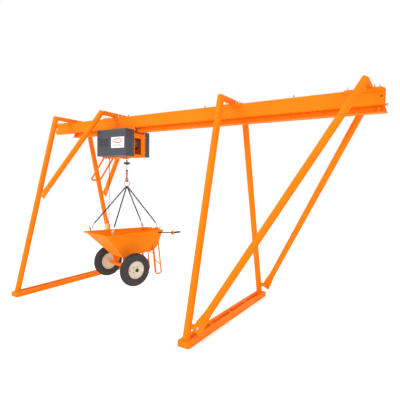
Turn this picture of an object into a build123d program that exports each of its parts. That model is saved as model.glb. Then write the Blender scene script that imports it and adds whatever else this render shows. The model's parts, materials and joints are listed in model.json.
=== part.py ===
"""Portable gantry crane: a box beam on two A-frames, with a travelling rope winch that carries a two-wheeled tub.

Frame: X runs along the beam, Y across it, Z up. The origin is on the floor under the middle of the beam.
All sizes are in millimetres.
"""

from build123d import *
from math import cos, degrees, radians, sin, tan
import os

os.makedirs("parts", exist_ok=True)

# ---------------------------------------------------------------- driving sizes
# beam and rail
BEAM_LENGTH = 4740.0
BEAM_WIDTH = 100.0
BEAM_HEIGHT = 154.0
BEAM_WALL = 4.0
BEAM_TOP = 2500.0
BEAM_CORNER = 6.0
END_HOLE_R = 13.0
END_HOLE_INSET = 24.0
END_HOLE_DROP = 80.0
RAIL_HEIGHT = 73.0
RAIL_WIDTH = 90.0
RAIL_FLANGE = 7.0
RAIL_WEB = 6.0
RAIL_LEFT = -1975.0
RAIL_OVERRUN = 24.0
STOP_LENGTH = 20.0
STOP_HEIGHT = 40.0
STOP_INSET = 45.0

# A-frames: legs stand on the base frames and lean in to the cross arms
PIPE_OD = 76.0
PIPE_WALL = 3.6
PIPE_END_OVER = 22.0
CAP_THICKNESS = 12.0
CAP_ROUND = 10.0
LEG_X = {"right": 782.0, "left": -2035.0}
LEG_TOP_Y = 301.0
LEG_FOOT_Y = 945.0
ARM_SECTION = 50.0
ARM_WALL = 4.0
BRACE_TOP_X = {"right": 2228.0, "left": -1065.0}
BRACE_TOP_Y = {"right": 268.0, "left": 301.0}
BRACE_HOLE_Z = {"right": 185.0, "left": 1400.0}
LUG_REACH = {"right": 118.0, "left": 108.0}
BRACE_OD = 73.0
FLAT_WIDTH = 106.0
FLAT_THICKNESS = 12.0
FLAT_LENGTH = 92.0
FLAT_TAPER = 150.0
FLAT_BELOW_HOLE = 48.0
LUG_HEIGHT = 52.0
LUG_THICKNESS = 12.0
JOINT_BOLT_R = 8.0
BOLT_CLEARANCE = 0.5
WELD_GAP = 0.02

# base frames
BASE_X = {"right": 790.0, "left": -2008.0}
BASE_WIDTH = 130.0
BASE_HEIGHT = 62.0
BASE_RAIL_WIDTH = 38.0
BASE_END_LENGTH = 110.0
BASE_OVERHANG = 52.0
BASE_RUNG = 26.0
BASE_RUNG_COUNT = 3
BASE_WALL = 4.0

# saddles that clamp the cross arms to the beam
SADDLE_PLATE = 8.0
SADDLE_LIP = 42.0
SADDLE_SIDE = 5.0
SADDLE_GAP = 0.5
SADDLES = {
    "right_leg": (680.0, 910.0),
    "right_brace": (2010.0, 2352.0),
    "left_leg": (-2352.0, -1985.0),
    "left_brace": (-1300.0, -1060.0 + 95.0),
}
STUD_R = 5.0
STUD_RISE = 36.0
STUD_INSET = 28.0
NUT_ACROSS = 17.0
NUT_HEIGHT = 9.0

# small eyes along the beam
EYE_WIRE = 6.0
EYE_RADIUS = 9.0
EYE_STEM = 14.0
EYE_X = [-1955.0, -845.0, 400.0, 1501.0]
END_EYE_REACH = 30.0

# winch frame, hung on the rail by four wheels
FRAME_LEFT = -1250.0
FRAME_RIGHT = -640.0
FRAME_HALF_WIDTH = 110.0
FRAME_PLATE = 8.0
FRAME_BOTTOM = 1934.0
FRAME_TOP_GAP = 8.0
TRAY_THICKNESS = 6.0
TRAY_FLANGE = 36.0
END_PLATE = 6.0
END_PLATE_LOW = 2188.0
END_PLATE_GAP = 20.0
POST_WIDTH = 72.0
TONGUE_END = -1348.0
TONGUE_WIDTH = 58.0
TONGUE_Y = 30.0
ROPE_X = -877.0
ROPE_SLOT_R = 16.0

WHEEL_R = 27.0
WHEEL_WIDTH = 20.0
WHEEL_FLANGE_R = 31.0
WHEEL_FLANGE = 5.0
WHEEL_GAP = 1.0
WHEEL_INSET = 75.0
AXLE_R = 8.0
RUNNING_FIT = 0.05

DRUM_Z = 2134.0
DRUM_CORE_R = 60.0
WRAP_R = 70.0
DRUM_FLANGE_R = 84.0
DRUM_FLANGE = 5.0
DRUM_LENGTH = 184.0
SHAFT_R = 15.0
ROPE_R = 3.0
ROPE_TOUCH_GAP = 0.3

# covers on the two sides of the frame
FRONT_COVER_LEFT = -1212.0
FRONT_COVER_RIGHT = -644.0
FRONT_COVER_DEPTH = 158.0
COVER_LOW = 1943.0
COVER_HIGH = 2300.0
COVER_WALL = 3.0
COVER_ROUND = 12.0
COVER_LEFT_ROUND = 60.0
COVER_STANDOFF = 8.0
BACK_COVER_LEFT = -1180.0
BACK_COVER_RIGHT = -655.0
BACK_COVER_DEPTH = 104.0
BACK_COVER_HIGH = 2290.0
VENT_COLUMNS = 6
VENT_ROWS = 5
VENT_LENGTH = 22.0
VENT_HEIGHT = 9.0
VENT_PITCH_X = 31.0
VENT_PITCH_Z = 22.0
VENT_CENTRE = (-1046.0, 2125.0)
SCREW_R = 5.0
SCREW_HEAD = 4.0

# drive inside the front cover
GEARBOX_R = 62.0
GEARBOX_DEPTH = 96.0
MOTOR_R = 56.0
MOTOR_LENGTH = 215.0
MOTOR_GAP_FAN = 6.0
FAN_R = 50.0
FAN_LENGTH = 26.0
CONTROL_SIZE = (270.0, 62.0, 190.0)

# pull handle, a bent bar under the left end of the frame
HANDLE_BAR_R = 13.0
HANDLE_HALF = 88.0
HANDLE_TOP = (-1228.0, 1952.0)
HANDLE_LOW = (-1510.0, 1612.0)
HANDLE_BEND = 36.0
HANDLE_BOLT_R = 5.0

# rope, limit disc and swivelling hook
DISC_TOP = 1868.0
DISC_R = 45.0
DISC_THICKNESS = 20.0
DISC_CONE = 14.0
DISC_SLEEVE = 34.0
BALL_Z = 1746.0
BALL_R = 15.0
HOOK_BAR_R = 9.0
HOOK_THROAT = 21.0
HOOK_SHANK_R = 11.0
HOOK_LEAN = 30.0
HOOK_TOP = 1728.0
RING_WIRE_R = 6.5
RING_MEAN_R = 43.5
RING_TOP = 1620.0
HANG_GAP = 0.4

# load: sling and tub, in a frame turned about the rope
LOAD_TURN = 15.9
RIM_Z = 894.0
RIM_FRONT = -485.0
RIM_REAR = 485.0
RIM_FRONT_HALF = 326.0
RIM_REAR_HALF = 212.0
TUB_BOTTOM_FRONT = -150.0
TUB_BOTTOM_HALF = 170.0
TUB_BOTTOM_Z = 550.0
TUB_HEEL = (432.0, 592.0)
TUB_HEEL_ROUND = 125.0
TUB_SHEET = 3.0
RIM_LIP = 9.0
RIM_LIP_DROP = 22.0
CHAIN_R = 9.0
CHAIN_TOP_R = 24.0
SLING_HOOK_R = 7.0
SLING_HOOK_BOWL = 20.0
SLING_HOOK_LENGTH = 100.0
TUB_EYE_ROD = 5.0
TUB_EYE_R = 18.0
TUB_EYE_STEM = 14.0
TUB_EYE_L = (-398.0, 410.0)
CART_WHEEL_R = 221.0
TYRE_WIDTH = 98.0
TYRE_SECTION_R = 49.0
RIM_R = 118.0
VALVE_RADIUS_AT = 92.0
VALVE_R = 5.0
CART_AXLE_L = -90.0
CART_AXLE_Z = 416.0
CART_TRACK_HALF = 367.0
CART_AXLE_R = 12.5
CART_BEAM = 40.0
STAND_W = 152.0
STAND_BAR_R = 10.0
STAND_FRONT_R = 15.0
STAND_L = (398.0, 500.0)
STAND_FOOT_Z = 228.0
GRIP_W = 282.0
GRIP_Z = 848.0
GRIP_START = 614.0
GRIP_LENGTH = 136.0
GRIP_R = 14.0
HANDLE_ROD_R = 8.0
GUARD_R = 32.0

# pendant control
PENDANT_TOP = 962.0
PENDANT_SIZE = (74.0, 52.0, 190.0)
WIRE_X = -1325.0
CABLE_X = -1253.0
PENDANT_Y = 30.0
WIRE_R = 1.5
CABLE_R = 4.5
BUTTON_R = 14.0
BUTTON_TRAVEL = 5.0
BUTTON_CLEARANCE = 0.5

# ---------------------------------------------------------------- worked-out places
BEAM_MID_Z = BEAM_TOP - BEAM_HEIGHT / 2
BEAM_BOTTOM = BEAM_TOP - BEAM_HEIGHT
RAIL_BOTTOM = BEAM_BOTTOM - RAIL_HEIGHT
RUN_Z = RAIL_BOTTOM + RAIL_FLANGE
SADDLE_TOP = BEAM_TOP + SADDLE_PLATE
ARM_Z = SADDLE_TOP + ARM_SECTION / 2
WHEEL_Z = RUN_Z + WHEEL_R + 0.2
FRAME_TOP = BEAM_BOTTOM - FRAME_TOP_GAP
PLATE_IN = FRAME_HALF_WIDTH - FRAME_PLATE
DRUM_X = ROPE_X + WRAP_R + ROPE_R + ROPE_TOUCH_GAP
WHEEL_XS = (FRAME_LEFT + WHEEL_INSET, FRAME_RIGHT - WHEEL_INSET)
WHEEL_IN = RAIL_WEB / 2 + 12.0
SIDES = ("right", "left")


def unit(start, end):
    """Direction from one point to another."""
    return (Vector(*end) - Vector(*start)).normalized()


def leg_point(side, z):
    """Point on the centre line of the front leg of one A-frame at height z."""
    share = z / ARM_Z
    return Vector(LEG_X[side], -(LEG_FOOT_Y + (LEG_TOP_Y - LEG_FOOT_Y) * share), z)


def finish(piece, name):
    """Label a finished piece and write its STEP file."""
    piece.part.label = name
    export_step(piece.part, f"parts/{name}.step")


# ---------------------------------------------------------------- beam and rail
with BuildPart() as main_beam:
    with BuildSketch(Plane.YZ.offset(-BEAM_LENGTH / 2)):
        with Locations((0, BEAM_MID_Z)):
            RectangleRounded(BEAM_WIDTH, BEAM_HEIGHT, BEAM_CORNER)
            Rectangle(BEAM_WIDTH - 2 * BEAM_WALL, BEAM_HEIGHT - 2 * BEAM_WALL, mode=Mode.SUBTRACT)
    extrude(amount=BEAM_LENGTH)
    for end in (-1, 1):
        hole_at = (end * (BEAM_LENGTH / 2 - END_HOLE_INSET), 0, BEAM_TOP - END_HOLE_DROP)
        with Locations(Plane(origin=hole_at, z_dir=(0, 1, 0))):
            Hole(END_HOLE_R)
finish(main_beam, "main_beam")

rail_right = BEAM_LENGTH / 2
with BuildPart() as runway_rail:
    with BuildSketch(Plane.YZ.offset(RAIL_LEFT)):
        with Locations((0, BEAM_BOTTOM - RAIL_FLANGE / 2), (0, RAIL_BOTTOM + RAIL_FLANGE / 2)):
            Rectangle(RAIL_WIDTH, RAIL_FLANGE)
        with Locations((0, (BEAM_BOTTOM + RAIL_BOTTOM) / 2)):
            Rectangle(RAIL_WEB, RAIL_HEIGHT)
    extrude(amount=rail_right + RAIL_OVERRUN - RAIL_LEFT)
    slant = Plane(origin=(rail_right, 0, BEAM_BOTTOM), x_dir=(0, 1, 0), z_dir=(RAIL_HEIGHT, 0, RAIL_OVERRUN))
    split(bisect_by=slant, keep=Keep.BOTTOM)
finish(runway_rail, "runway_rail")

with BuildPart() as rail_stops:
    stop_y = (RAIL_WEB / 2 + RAIL_WIDTH / 2) / 2
    for x in (RAIL_LEFT + STOP_INSET, rail_right - STOP_INSET):
        with Locations((x, stop_y, RUN_Z + STOP_HEIGHT / 2), (x, -stop_y, RUN_Z + STOP_HEIGHT / 2)):
            Box(STOP_LENGTH, RAIL_WIDTH / 2 - RAIL_WEB / 2, STOP_HEIGHT)
finish(rail_stops, "rail_stops")

# ---------------------------------------------------------------- cross arms and saddles
leg_axis = {side: unit(leg_point(side, 0), leg_point(side, ARM_Z)) for side in SIDES}
arm_places = {
    "right_leg": (LEG_X["right"], LEG_TOP_Y),
    "left_leg": (LEG_X["left"], LEG_TOP_Y),
    "right_brace": (BRACE_TOP_X["right"], BRACE_TOP_Y["right"]),
    "left_brace": (BRACE_TOP_X["left"], BRACE_TOP_Y["left"]),
}


def brace_ends(side):
    """Bolt-hole point at the foot and centre point at the cross arm of a front brace."""
    z = BRACE_HOLE_Z[side]
    foot = leg_point(side, z) + Vector(LUG_REACH[side], 0, 0)
    top = Vector(BRACE_TOP_X[side], -BRACE_TOP_Y[side], ARM_Z)
    return foot, top


def tube_direction(name):
    """Axis of the front tube that meets the arm of this name."""
    side = name.split("_")[0]
    if name.endswith("leg"):
        return leg_axis[side]
    foot, top = brace_ends(side)
    return (top - foot).normalized()


with BuildPart() as cross_arms:
    for name, (x, half) in arm_places.items():
        with Locations((x, 0, ARM_Z)):
            Box(ARM_SECTION, 2 * half, ARM_SECTION)
        with Locations((x, 0, ARM_Z)):
            Box(ARM_SECTION - 2 * ARM_WALL, 2 * half, ARM_SECTION - 2 * ARM_WALL, mode=Mode.SUBTRACT)
    for name, (x, half) in arm_places.items():
        tube_r = (PIPE_OD if name.endswith("leg") else BRACE_OD) / 2
        d = tube_direction(name)
        for s in (-1, 1):
            axis = Vector(d.X, -s * d.Y, d.Z)
            with Locations(Plane(origin=(x, s * half, ARM_Z), z_dir=axis)):
                Cylinder(tube_r, 6 * tube_r, mode=Mode.SUBTRACT)
finish(cross_arms, "cross_arms")

with BuildPart() as saddles:
    for low, high in SADDLES.values():
        middle, length = (low + high) / 2, high - low
        outer = BEAM_WIDTH + 2 * (SADDLE_GAP + SADDLE_SIDE)
        with Locations((middle, 0, BEAM_TOP + SADDLE_PLATE / 2)):
            Box(length, outer, SADDLE_PLATE)
        for s in (-1, 1):
            y = s * (BEAM_WIDTH / 2 + SADDLE_GAP + SADDLE_SIDE / 2)
            with Locations((middle, y, BEAM_TOP + SADDLE_PLATE - SADDLE_LIP / 2)):
                Box(length, SADDLE_SIDE, SADDLE_LIP)
finish(saddles, "saddles")

with BuildPart() as saddle_studs:
    for name, (low, high) in SADDLES.items():
        arm_x = arm_places[name][0]
        stations = [low + STUD_INSET, high - STUD_INSET]
        stations += [arm_x - ARM_SECTION / 2 - STUD_INSET, arm_x + ARM_SECTION / 2 + STUD_INSET]
        kept = []
        for x in sorted(stations):
            clear_of_arm = abs(x - arm_x) > ARM_SECTION / 2 + NUT_ACROSS
            if clear_of_arm and low + NUT_ACROSS < x < high - NUT_ACROSS:
                if all(abs(x - other) > 2.5 * NUT_ACROSS for other in kept):
                    kept.append(x)
        for x in kept:
            for y in (-BEAM_WIDTH / 2 + 18, BEAM_WIDTH / 2 - 18):
                with Locations((x, y, SADDLE_TOP + STUD_RISE / 2)):
                    Cylinder(STUD_R, STUD_RISE)
                with BuildSketch(Plane.XY.offset(SADDLE_TOP)):
                    with Locations((x, y)):
                        RegularPolygon(NUT_ACROSS / 2, 6, major_radius=False)
                extrude(amount=NUT_HEIGHT)
finish(saddle_studs, "saddle_studs")

with BuildPart() as cable_eyes:
    for x in EYE_X:
        with Locations((x, 0, BEAM_TOP + EYE_STEM / 2)):
            Cylinder(EYE_WIRE / 2 - 0.5, EYE_STEM)
        with Locations(Plane(origin=(x, 0, BEAM_TOP + EYE_STEM + EYE_RADIUS), z_dir=(1, 0, 0))):
            Torus(EYE_RADIUS, EYE_WIRE / 2)
    for s in (-1, 1):
        tip = s * (BEAM_LENGTH / 2 + END_EYE_REACH - EYE_RADIUS - EYE_WIRE / 2)
        root = s * BEAM_LENGTH / 2
        z = BEAM_BOTTOM + BEAM_WALL / 2
        with Locations(((tip - s * EYE_RADIUS + root) / 2, 0, z)):
            Box(abs(tip - s * EYE_RADIUS - root), 12, BEAM_WALL)
        with Locations(Plane(origin=(tip, 0, z), z_dir=(0, 1, 0))):
            Torus(EYE_RADIUS, EYE_WIRE / 2)
finish(cable_eyes, "cable_eyes")


# ---------------------------------------------------------------- legs and braces
def capped_pipe(start, end, outer, wall):
    """Straight tube between two points, closed at the end by a rounded cap."""
    axis = unit(start, end)
    length = (Vector(*end) - Vector(*start)).length
    with BuildPart() as tube:
        with BuildSketch(Plane(origin=start, z_dir=axis)):
            Circle(outer / 2)
        extrude(amount=length)
        fillet(tube.edges().filter_by(GeomType.CIRCLE).sort_by(Axis(start, axis))[-1], CAP_ROUND)
        with BuildSketch(Plane(origin=start, z_dir=axis)):
            Circle(outer / 2 - wall)
        extrude(amount=length - CAP_THICKNESS, mode=Mode.SUBTRACT)
    return tube.part


def lug_plane(side):
    """Plane of a front brace's flattened end: origin at the bolt hole, z across the plate."""
    foot, top = brace_ends(side)
    d = (top - foot).normalized()
    across = (Vector(0, 1, 0) - d * d.Y).normalized()
    return Plane(origin=foot, x_dir=d, z_dir=across)


def lug_part(side):
    """Flat lug from the leg's centre line to past the bolt hole, lying against the brace's flat end."""
    plane = lug_plane(side)
    toward_leg = Vector(-1, 0, 0) - plane.z_dir * Vector(-1, 0, 0).dot(plane.z_dir)
    lying = Plane(origin=plane.origin, x_dir=toward_leg.normalized(), z_dir=plane.z_dir)
    lying = lying.offset(FLAT_THICKNESS / 2)
    reach = LUG_REACH[side]
    with BuildPart() as lug:
        with BuildSketch(lying):
            with Locations((reach / 2, 0)):
                Rectangle(reach, LUG_HEIGHT)
            Circle(LUG_HEIGHT / 2)
            Circle(JOINT_BOLT_R + BOLT_CLEARANCE, mode=Mode.SUBTRACT)
        extrude(amount=LUG_THICKNESS)
    return lug.part


def front_leg(side):
    """Front leg with its brace lug; the foot is cut level to stand on the base frame."""
    low, high = leg_point(side, -40), leg_point(side, ARM_Z + PIPE_END_OVER)
    tube = capped_pipe(tuple(low), tuple(high), PIPE_OD, PIPE_WALL)
    axis = unit(low, high)
    bore = Plane(origin=low, z_dir=axis)
    with BuildPart() as leg:
        add(lug_part(side))
        with BuildSketch(bore):
            Circle(PIPE_OD / 2 + WELD_GAP)
        extrude(amount=(high - low).length, mode=Mode.SUBTRACT)
        add(tube)
        split(bisect_by=Plane.XY.offset(BASE_HEIGHT), keep=Keep.TOP)
    return leg.part


def front_brace(side):
    """Front brace: a pipe whose lower end is pressed flat and bolted to the leg's lug."""
    foot, top = brace_ends(side)
    plane = lug_plane(side)
    d = plane.x_dir
    flat_end = foot - d * FLAT_BELOW_HOLE
    taper_start = flat_end + d * FLAT_LENGTH
    round_start = taper_start + d * FLAT_TAPER
    tube = capped_pipe(tuple(round_start), tuple(top + d * PIPE_END_OVER), BRACE_OD, PIPE_WALL)
    across = plane.y_dir
    with BuildPart() as brace:
        add(tube)
        with BuildSketch(Plane(origin=round_start, x_dir=across, z_dir=-d)):
            Circle(BRACE_OD / 2)
        with BuildSketch(Plane(origin=taper_start, x_dir=across, z_dir=-d)):
            SlotOverall(FLAT_WIDTH, FLAT_THICKNESS)
        loft()
        with BuildSketch(Plane(origin=taper_start, x_dir=across, z_dir=-d)):
            SlotOverall(FLAT_WIDTH, FLAT_THICKNESS)
        extrude(amount=FLAT_LENGTH)
        with Locations(plane):
            Cylinder(JOINT_BOLT_R + BOLT_CLEARANCE, 4 * FLAT_THICKNESS, mode=Mode.SUBTRACT)
    return brace.part


for side in SIDES:
    front = front_leg(side)
    rear = mirror(front, about=Plane.XZ)
    with BuildPart() as leg_front:
        add(front)
    finish(leg_front, f"leg_{side}_front")
    with BuildPart() as leg_rear:
        add(rear)
    finish(leg_rear, f"leg_{side}_rear")

for side in SIDES:
    front = front_brace(side)
    rear = mirror(front, about=Plane.XZ)
    with BuildPart() as brace_front:
        add(front)
    finish(brace_front, f"brace_{side}_front")
    with BuildPart() as brace_rear:
        add(rear)
    finish(brace_rear, f"brace_{side}_rear")


def joint_bolt(side):
    """Bolt through the flattened brace end and the lug, with its hexagon head and nut."""
    plane = lug_plane(side)
    low, high = -FLAT_THICKNESS / 2, FLAT_THICKNESS / 2 + LUG_THICKNESS
    with BuildPart() as bolt:
        with BuildSketch(plane.offset(low - NUT_HEIGHT)):
            RegularPolygon(12, 6, major_radius=False)
        extrude(amount=NUT_HEIGHT)
        with BuildSketch(plane.offset(high)):
            RegularPolygon(12, 6, major_radius=False)
        extrude(amount=NUT_HEIGHT + 2)
        with BuildSketch(plane.offset(low)):
            Circle(JOINT_BOLT_R)
        extrude(amount=high - low)
        with BuildSketch(plane.offset(high + NUT_HEIGHT)):
            Circle(JOINT_BOLT_R)
        extrude(amount=10)
    return bolt.part


front_bolts = [joint_bolt(side) for side in SIDES]
rear_bolts = [mirror(bolt, about=Plane.XZ) for bolt in front_bolts]
with BuildPart() as joint_bolts:
    add(front_bolts + rear_bolts)
finish(joint_bolts, "joint_bolts")

# ---------------------------------------------------------------- base frames
base_length = 2 * (LEG_FOOT_Y + BASE_OVERHANG)
for side in SIDES:
    x0 = BASE_X[side]
    rail_offset = BASE_WIDTH / 2 - BASE_RAIL_WIDTH / 2
    inside_low, inside_high = -base_length / 2 + BASE_END_LENGTH, base_length / 2 - BASE_END_LENGTH
    rung_pitch = (inside_high - inside_low) / (BASE_RUNG_COUNT + 1)
    with BuildPart() as base:
        with Locations((x0, 0, BASE_HEIGHT / 2)):
            Box(BASE_WIDTH, base_length, BASE_HEIGHT)
        fillet(base.edges().filter_by(Axis.Z), 4)
        with Locations((x0, 0, BASE_HEIGHT / 2)):
            Box(BASE_WIDTH - 2 * BASE_RAIL_WIDTH, inside_high - inside_low, BASE_HEIGHT, mode=Mode.SUBTRACT)
        for i in range(BASE_RUNG_COUNT):
            y = inside_low + rung_pitch * (i + 1)
            with Locations((x0, y, BASE_HEIGHT - BASE_RUNG / 2 - 4)):
                Box(BASE_WIDTH - 2 * BASE_RAIL_WIDTH, BASE_RUNG, BASE_RUNG)
    finish(base, f"base_{side}")

# ---------------------------------------------------------------- winch frame
handle_top = Vector(HANDLE_TOP[0], 0, HANDLE_TOP[1])
handle_low = Vector(HANDLE_LOW[0], 0, HANDLE_LOW[1])


def handle_bar(radius):
    """Bent bar of the pull handle, from one frame plate down, across and back up to the other."""
    half = Vector(0, HANDLE_HALF, 0)
    with BuildPart() as piece:
        with BuildLine():
            FilletPolyline(
                handle_top - half, handle_low - half, handle_low + half, handle_top + half, radius=HANDLE_BEND,
            )
        with BuildSketch(Plane(origin=handle_top - half, z_dir=handle_low - handle_top)):
            Circle(radius)
        sweep()
    return piece.part


bolt_in = HANDLE_HALF
bolt_out = FRAME_HALF_WIDTH + 7
with BuildPart() as pull_handle:
    add(handle_bar(HANDLE_BAR_R))
    for s in (-1, 1):
        with Locations(Plane(origin=handle_top + Vector(0, s * (bolt_in + bolt_out) / 2, 0), z_dir=(0, 1, 0))):
            Cylinder(HANDLE_BOLT_R - BOLT_CLEARANCE, bolt_out - bolt_in)
        with Locations(Plane(origin=handle_top + Vector(0, s * (bolt_out - 3), 0), z_dir=(0, 1, 0))):
            Cylinder(HANDLE_BOLT_R + 4, 6)
finish(pull_handle, "pull_handle")

with BuildPart() as frame_plates:
    for s in (-1, 1):
        y = s * (FRAME_HALF_WIDTH - FRAME_PLATE / 2)
        with Locations(((FRAME_LEFT + FRAME_RIGHT) / 2, y, (FRAME_BOTTOM + TRAY_THICKNESS + FRAME_TOP) / 2)):
            Box(FRAME_RIGHT - FRAME_LEFT, FRAME_PLATE, FRAME_TOP - FRAME_BOTTOM - TRAY_THICKNESS)
        for x in WHEEL_XS:
            with Locations(Plane(origin=(x, y, WHEEL_Z), z_dir=(0, 1, 0))):
                Cylinder(AXLE_R, 2 * FRAME_PLATE, mode=Mode.SUBTRACT)
    with Locations(Plane(origin=(DRUM_X, 0, DRUM_Z), z_dir=(0, 1, 0))):
        Hole(SHAFT_R + RUNNING_FIT)
    with Locations(Plane(origin=handle_top, z_dir=(0, 1, 0))):
        Hole(HANDLE_BOLT_R)
finish(frame_plates, "frame_plates")

inner_span = 2 * PLATE_IN
with BuildPart() as frame_tray:
    with Locations(((FRAME_LEFT + FRAME_RIGHT) / 2, 0, FRAME_BOTTOM + TRAY_THICKNESS / 2)):
        Box(FRAME_RIGHT - FRAME_LEFT, 2 * FRAME_HALF_WIDTH, TRAY_THICKNESS)
    with Locations(((FRAME_LEFT + TONGUE_END) / 2 + 5, TONGUE_Y, FRAME_BOTTOM + TRAY_THICKNESS / 2)):
        Box(FRAME_LEFT - TONGUE_END + 10, TONGUE_WIDTH, TRAY_THICKNESS)
    flange_z = FRAME_BOTTOM + TRAY_THICKNESS + (TRAY_FLANGE - TRAY_THICKNESS) / 2
    for x in (FRAME_LEFT + END_PLATE / 2, FRAME_RIGHT - END_PLATE / 2):
        with Locations((x, 0, flange_z)):
            Box(END_PLATE, inner_span, TRAY_FLANGE - TRAY_THICKNESS)
        plate_high = RAIL_BOTTOM - END_PLATE_GAP
        with Locations((x, 0, (END_PLATE_LOW + plate_high) / 2)):
            Box(END_PLATE, inner_span, plate_high - END_PLATE_LOW)
        post_high = END_PLATE_LOW + 1
        post_low = FRAME_BOTTOM + TRAY_FLANGE - 1
        with Locations((x, PLATE_IN - POST_WIDTH / 2, (post_low + post_high) / 2)):
            Box(END_PLATE, POST_WIDTH, post_high - post_low)
    with Locations((ROPE_X, 0, FRAME_BOTTOM)):
        Hole(ROPE_SLOT_R)
    with Locations((CABLE_X, PENDANT_Y, FRAME_BOTTOM)):
        Hole(CABLE_R + 3.5)
    with Locations((WIRE_X, PENDANT_Y, FRAME_BOTTOM)):
        Hole(WIRE_R + 1.0)
    notch = (FRAME_LEFT - 1, HANDLE_TOP[0] + HANDLE_BAR_R + 16)
    for s in (-1, 1):
        with Locations(((notch[0] + notch[1]) / 2, s * HANDLE_HALF, FRAME_BOTTOM + TRAY_FLANGE / 2)):
            Box(notch[1] - notch[0], 2 * (HANDLE_BAR_R + 1), TRAY_FLANGE + 4, mode=Mode.SUBTRACT)
finish(frame_tray, "frame_tray")

with BuildPart() as wheel_axles:
    for s in (-1, 1):
        for x in WHEEL_XS:
            inner = WHEEL_IN - 2
            outer = FRAME_HALF_WIDTH + 6
            with Locations(Plane(origin=(x, s * (inner + outer) / 2, WHEEL_Z), z_dir=(0, 1, 0))):
                Cylinder(AXLE_R - RUNNING_FIT, outer - inner)
            collar_in = WHEEL_IN + WHEEL_WIDTH + WHEEL_FLANGE + WHEEL_GAP
            with Locations(Plane(origin=(x, s * (collar_in + PLATE_IN) / 2, WHEEL_Z), z_dir=(0, 1, 0))):
                Cylinder(AXLE_R + 5, PLATE_IN - collar_in)
finish(wheel_axles, "wheel_axles")

for row, s in (("front", -1), ("rear", 1)):
    for column, x in zip(("left", "right"), WHEEL_XS):
        centre = Plane(origin=(x, s * WHEEL_IN, WHEEL_Z), z_dir=(0, s, 0))
        with BuildPart() as wheel:
            with BuildSketch(centre):
                Circle(WHEEL_R)
                Circle(AXLE_R, mode=Mode.SUBTRACT)
            extrude(amount=WHEEL_WIDTH + WHEEL_FLANGE)
            chamfer(wheel.edges().filter_by(GeomType.CIRCLE).group_by(SortBy.RADIUS)[-1], 1.5)
            for i in range(5):
                around = Location((0, 0, 0), (0, 0, 1), 72.0 * i)
                with Locations(centre * around * Pos(17.5, 0, 0)):
                    Hole(4.0)
        finish(wheel, f"trolley_wheel_{row}_{column}")

with BuildPart() as rope_drum:
    with Locations(Plane(origin=(DRUM_X, 0, DRUM_Z), z_dir=(0, 1, 0))):
        Cylinder(DRUM_CORE_R, DRUM_LENGTH)
    for s in (-1, 1):
        with Locations(Plane(origin=(DRUM_X, s * (DRUM_LENGTH - DRUM_FLANGE) / 2, DRUM_Z), z_dir=(0, 1, 0))):
            Cylinder(DRUM_FLANGE_R, DRUM_FLANGE)
    with Locations(Plane(origin=(DRUM_X, 0, DRUM_Z), z_dir=(0, 1, 0))):
        Cylinder(DRUM_CORE_R - 8, DRUM_LENGTH - 16, mode=Mode.SUBTRACT)
        Hole(SHAFT_R)
finish(rope_drum, "rope_drum")

with BuildPart() as rope_wraps:
    with BuildSketch(Plane(origin=(DRUM_X, 0, DRUM_Z), z_dir=(0, 1, 0)).offset(-DRUM_LENGTH / 2 + DRUM_FLANGE)):
        Circle(WRAP_R)
        Circle(DRUM_CORE_R, mode=Mode.SUBTRACT)
    extrude(amount=DRUM_LENGTH - 2 * DRUM_FLANGE)
finish(rope_wraps, "rope_wraps")

shaft_front = -(FRAME_HALF_WIDTH + 34)
shaft_back = FRAME_HALF_WIDTH + 10
with BuildPart() as drum_shaft:
    with Locations(Plane(origin=(DRUM_X, (shaft_front + shaft_back) / 2, DRUM_Z), z_dir=(0, 1, 0))):
        Cylinder(SHAFT_R, shaft_back - shaft_front)
finish(drum_shaft, "drum_shaft")


def cover_shell(left, right, low, high, back_y, depth, side_sign, left_round):
    """Pressed cover open towards the frame plate: a box with rounded edges, hollowed from its open side."""
    with BuildPart() as shell:
        y_mid = back_y + side_sign * depth / 2
        with Locations(((left + right) / 2, y_mid, (low + high) / 2)):
            Box(right - left, depth, high - low)
        outer_face_y = back_y + side_sign * depth
        upright = shell.edges().filter_by(Axis.Z).group_by(Axis.X)[0]
        outer_left = upright.sort_by(Axis.Y)[0 if side_sign < 0 else -1]
        fillet(outer_left, left_round)
        rim = shell.faces().sort_by(Axis.Y)[0 if side_sign < 0 else -1]
        fillet(rim.edges().filter_by(Axis.X), COVER_ROUND)
        open_face = shell.faces().sort_by(Axis.Y)[-1 if side_sign < 0 else 0]
        offset(amount=-COVER_WALL, openings=open_face)
    return shell.part


front_shell = cover_shell(
    FRONT_COVER_LEFT, FRONT_COVER_RIGHT, COVER_LOW, COVER_HIGH,
    -FRAME_HALF_WIDTH - COVER_STANDOFF, FRONT_COVER_DEPTH, -1, COVER_LEFT_ROUND,
)
front_face_y = -FRAME_HALF_WIDTH - COVER_STANDOFF - FRONT_COVER_DEPTH
vent_plane = Plane(origin=(VENT_CENTRE[0], front_face_y, VENT_CENTRE[1]), x_dir=(1, 0, 0), z_dir=(0, -1, 0))
with BuildPart() as front_cover:
    add(front_shell)
    with BuildSketch(vent_plane.offset(2)):
        with GridLocations(VENT_PITCH_X, VENT_PITCH_Z, VENT_COLUMNS, VENT_ROWS):
            RectangleRounded(VENT_LENGTH, VENT_HEIGHT, 3)
    extrude(amount=-2 * COVER_WALL - 2, mode=Mode.SUBTRACT)
finish(front_cover, "front_cover")

back_shell = cover_shell(
    BACK_COVER_LEFT, BACK_COVER_RIGHT, COVER_LOW, BACK_COVER_HIGH,
    FRAME_HALF_WIDTH + COVER_STANDOFF, BACK_COVER_DEPTH, 1, COVER_ROUND,
)
with BuildPart() as back_cover:
    add(back_shell)
finish(back_cover, "back_cover")

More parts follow.
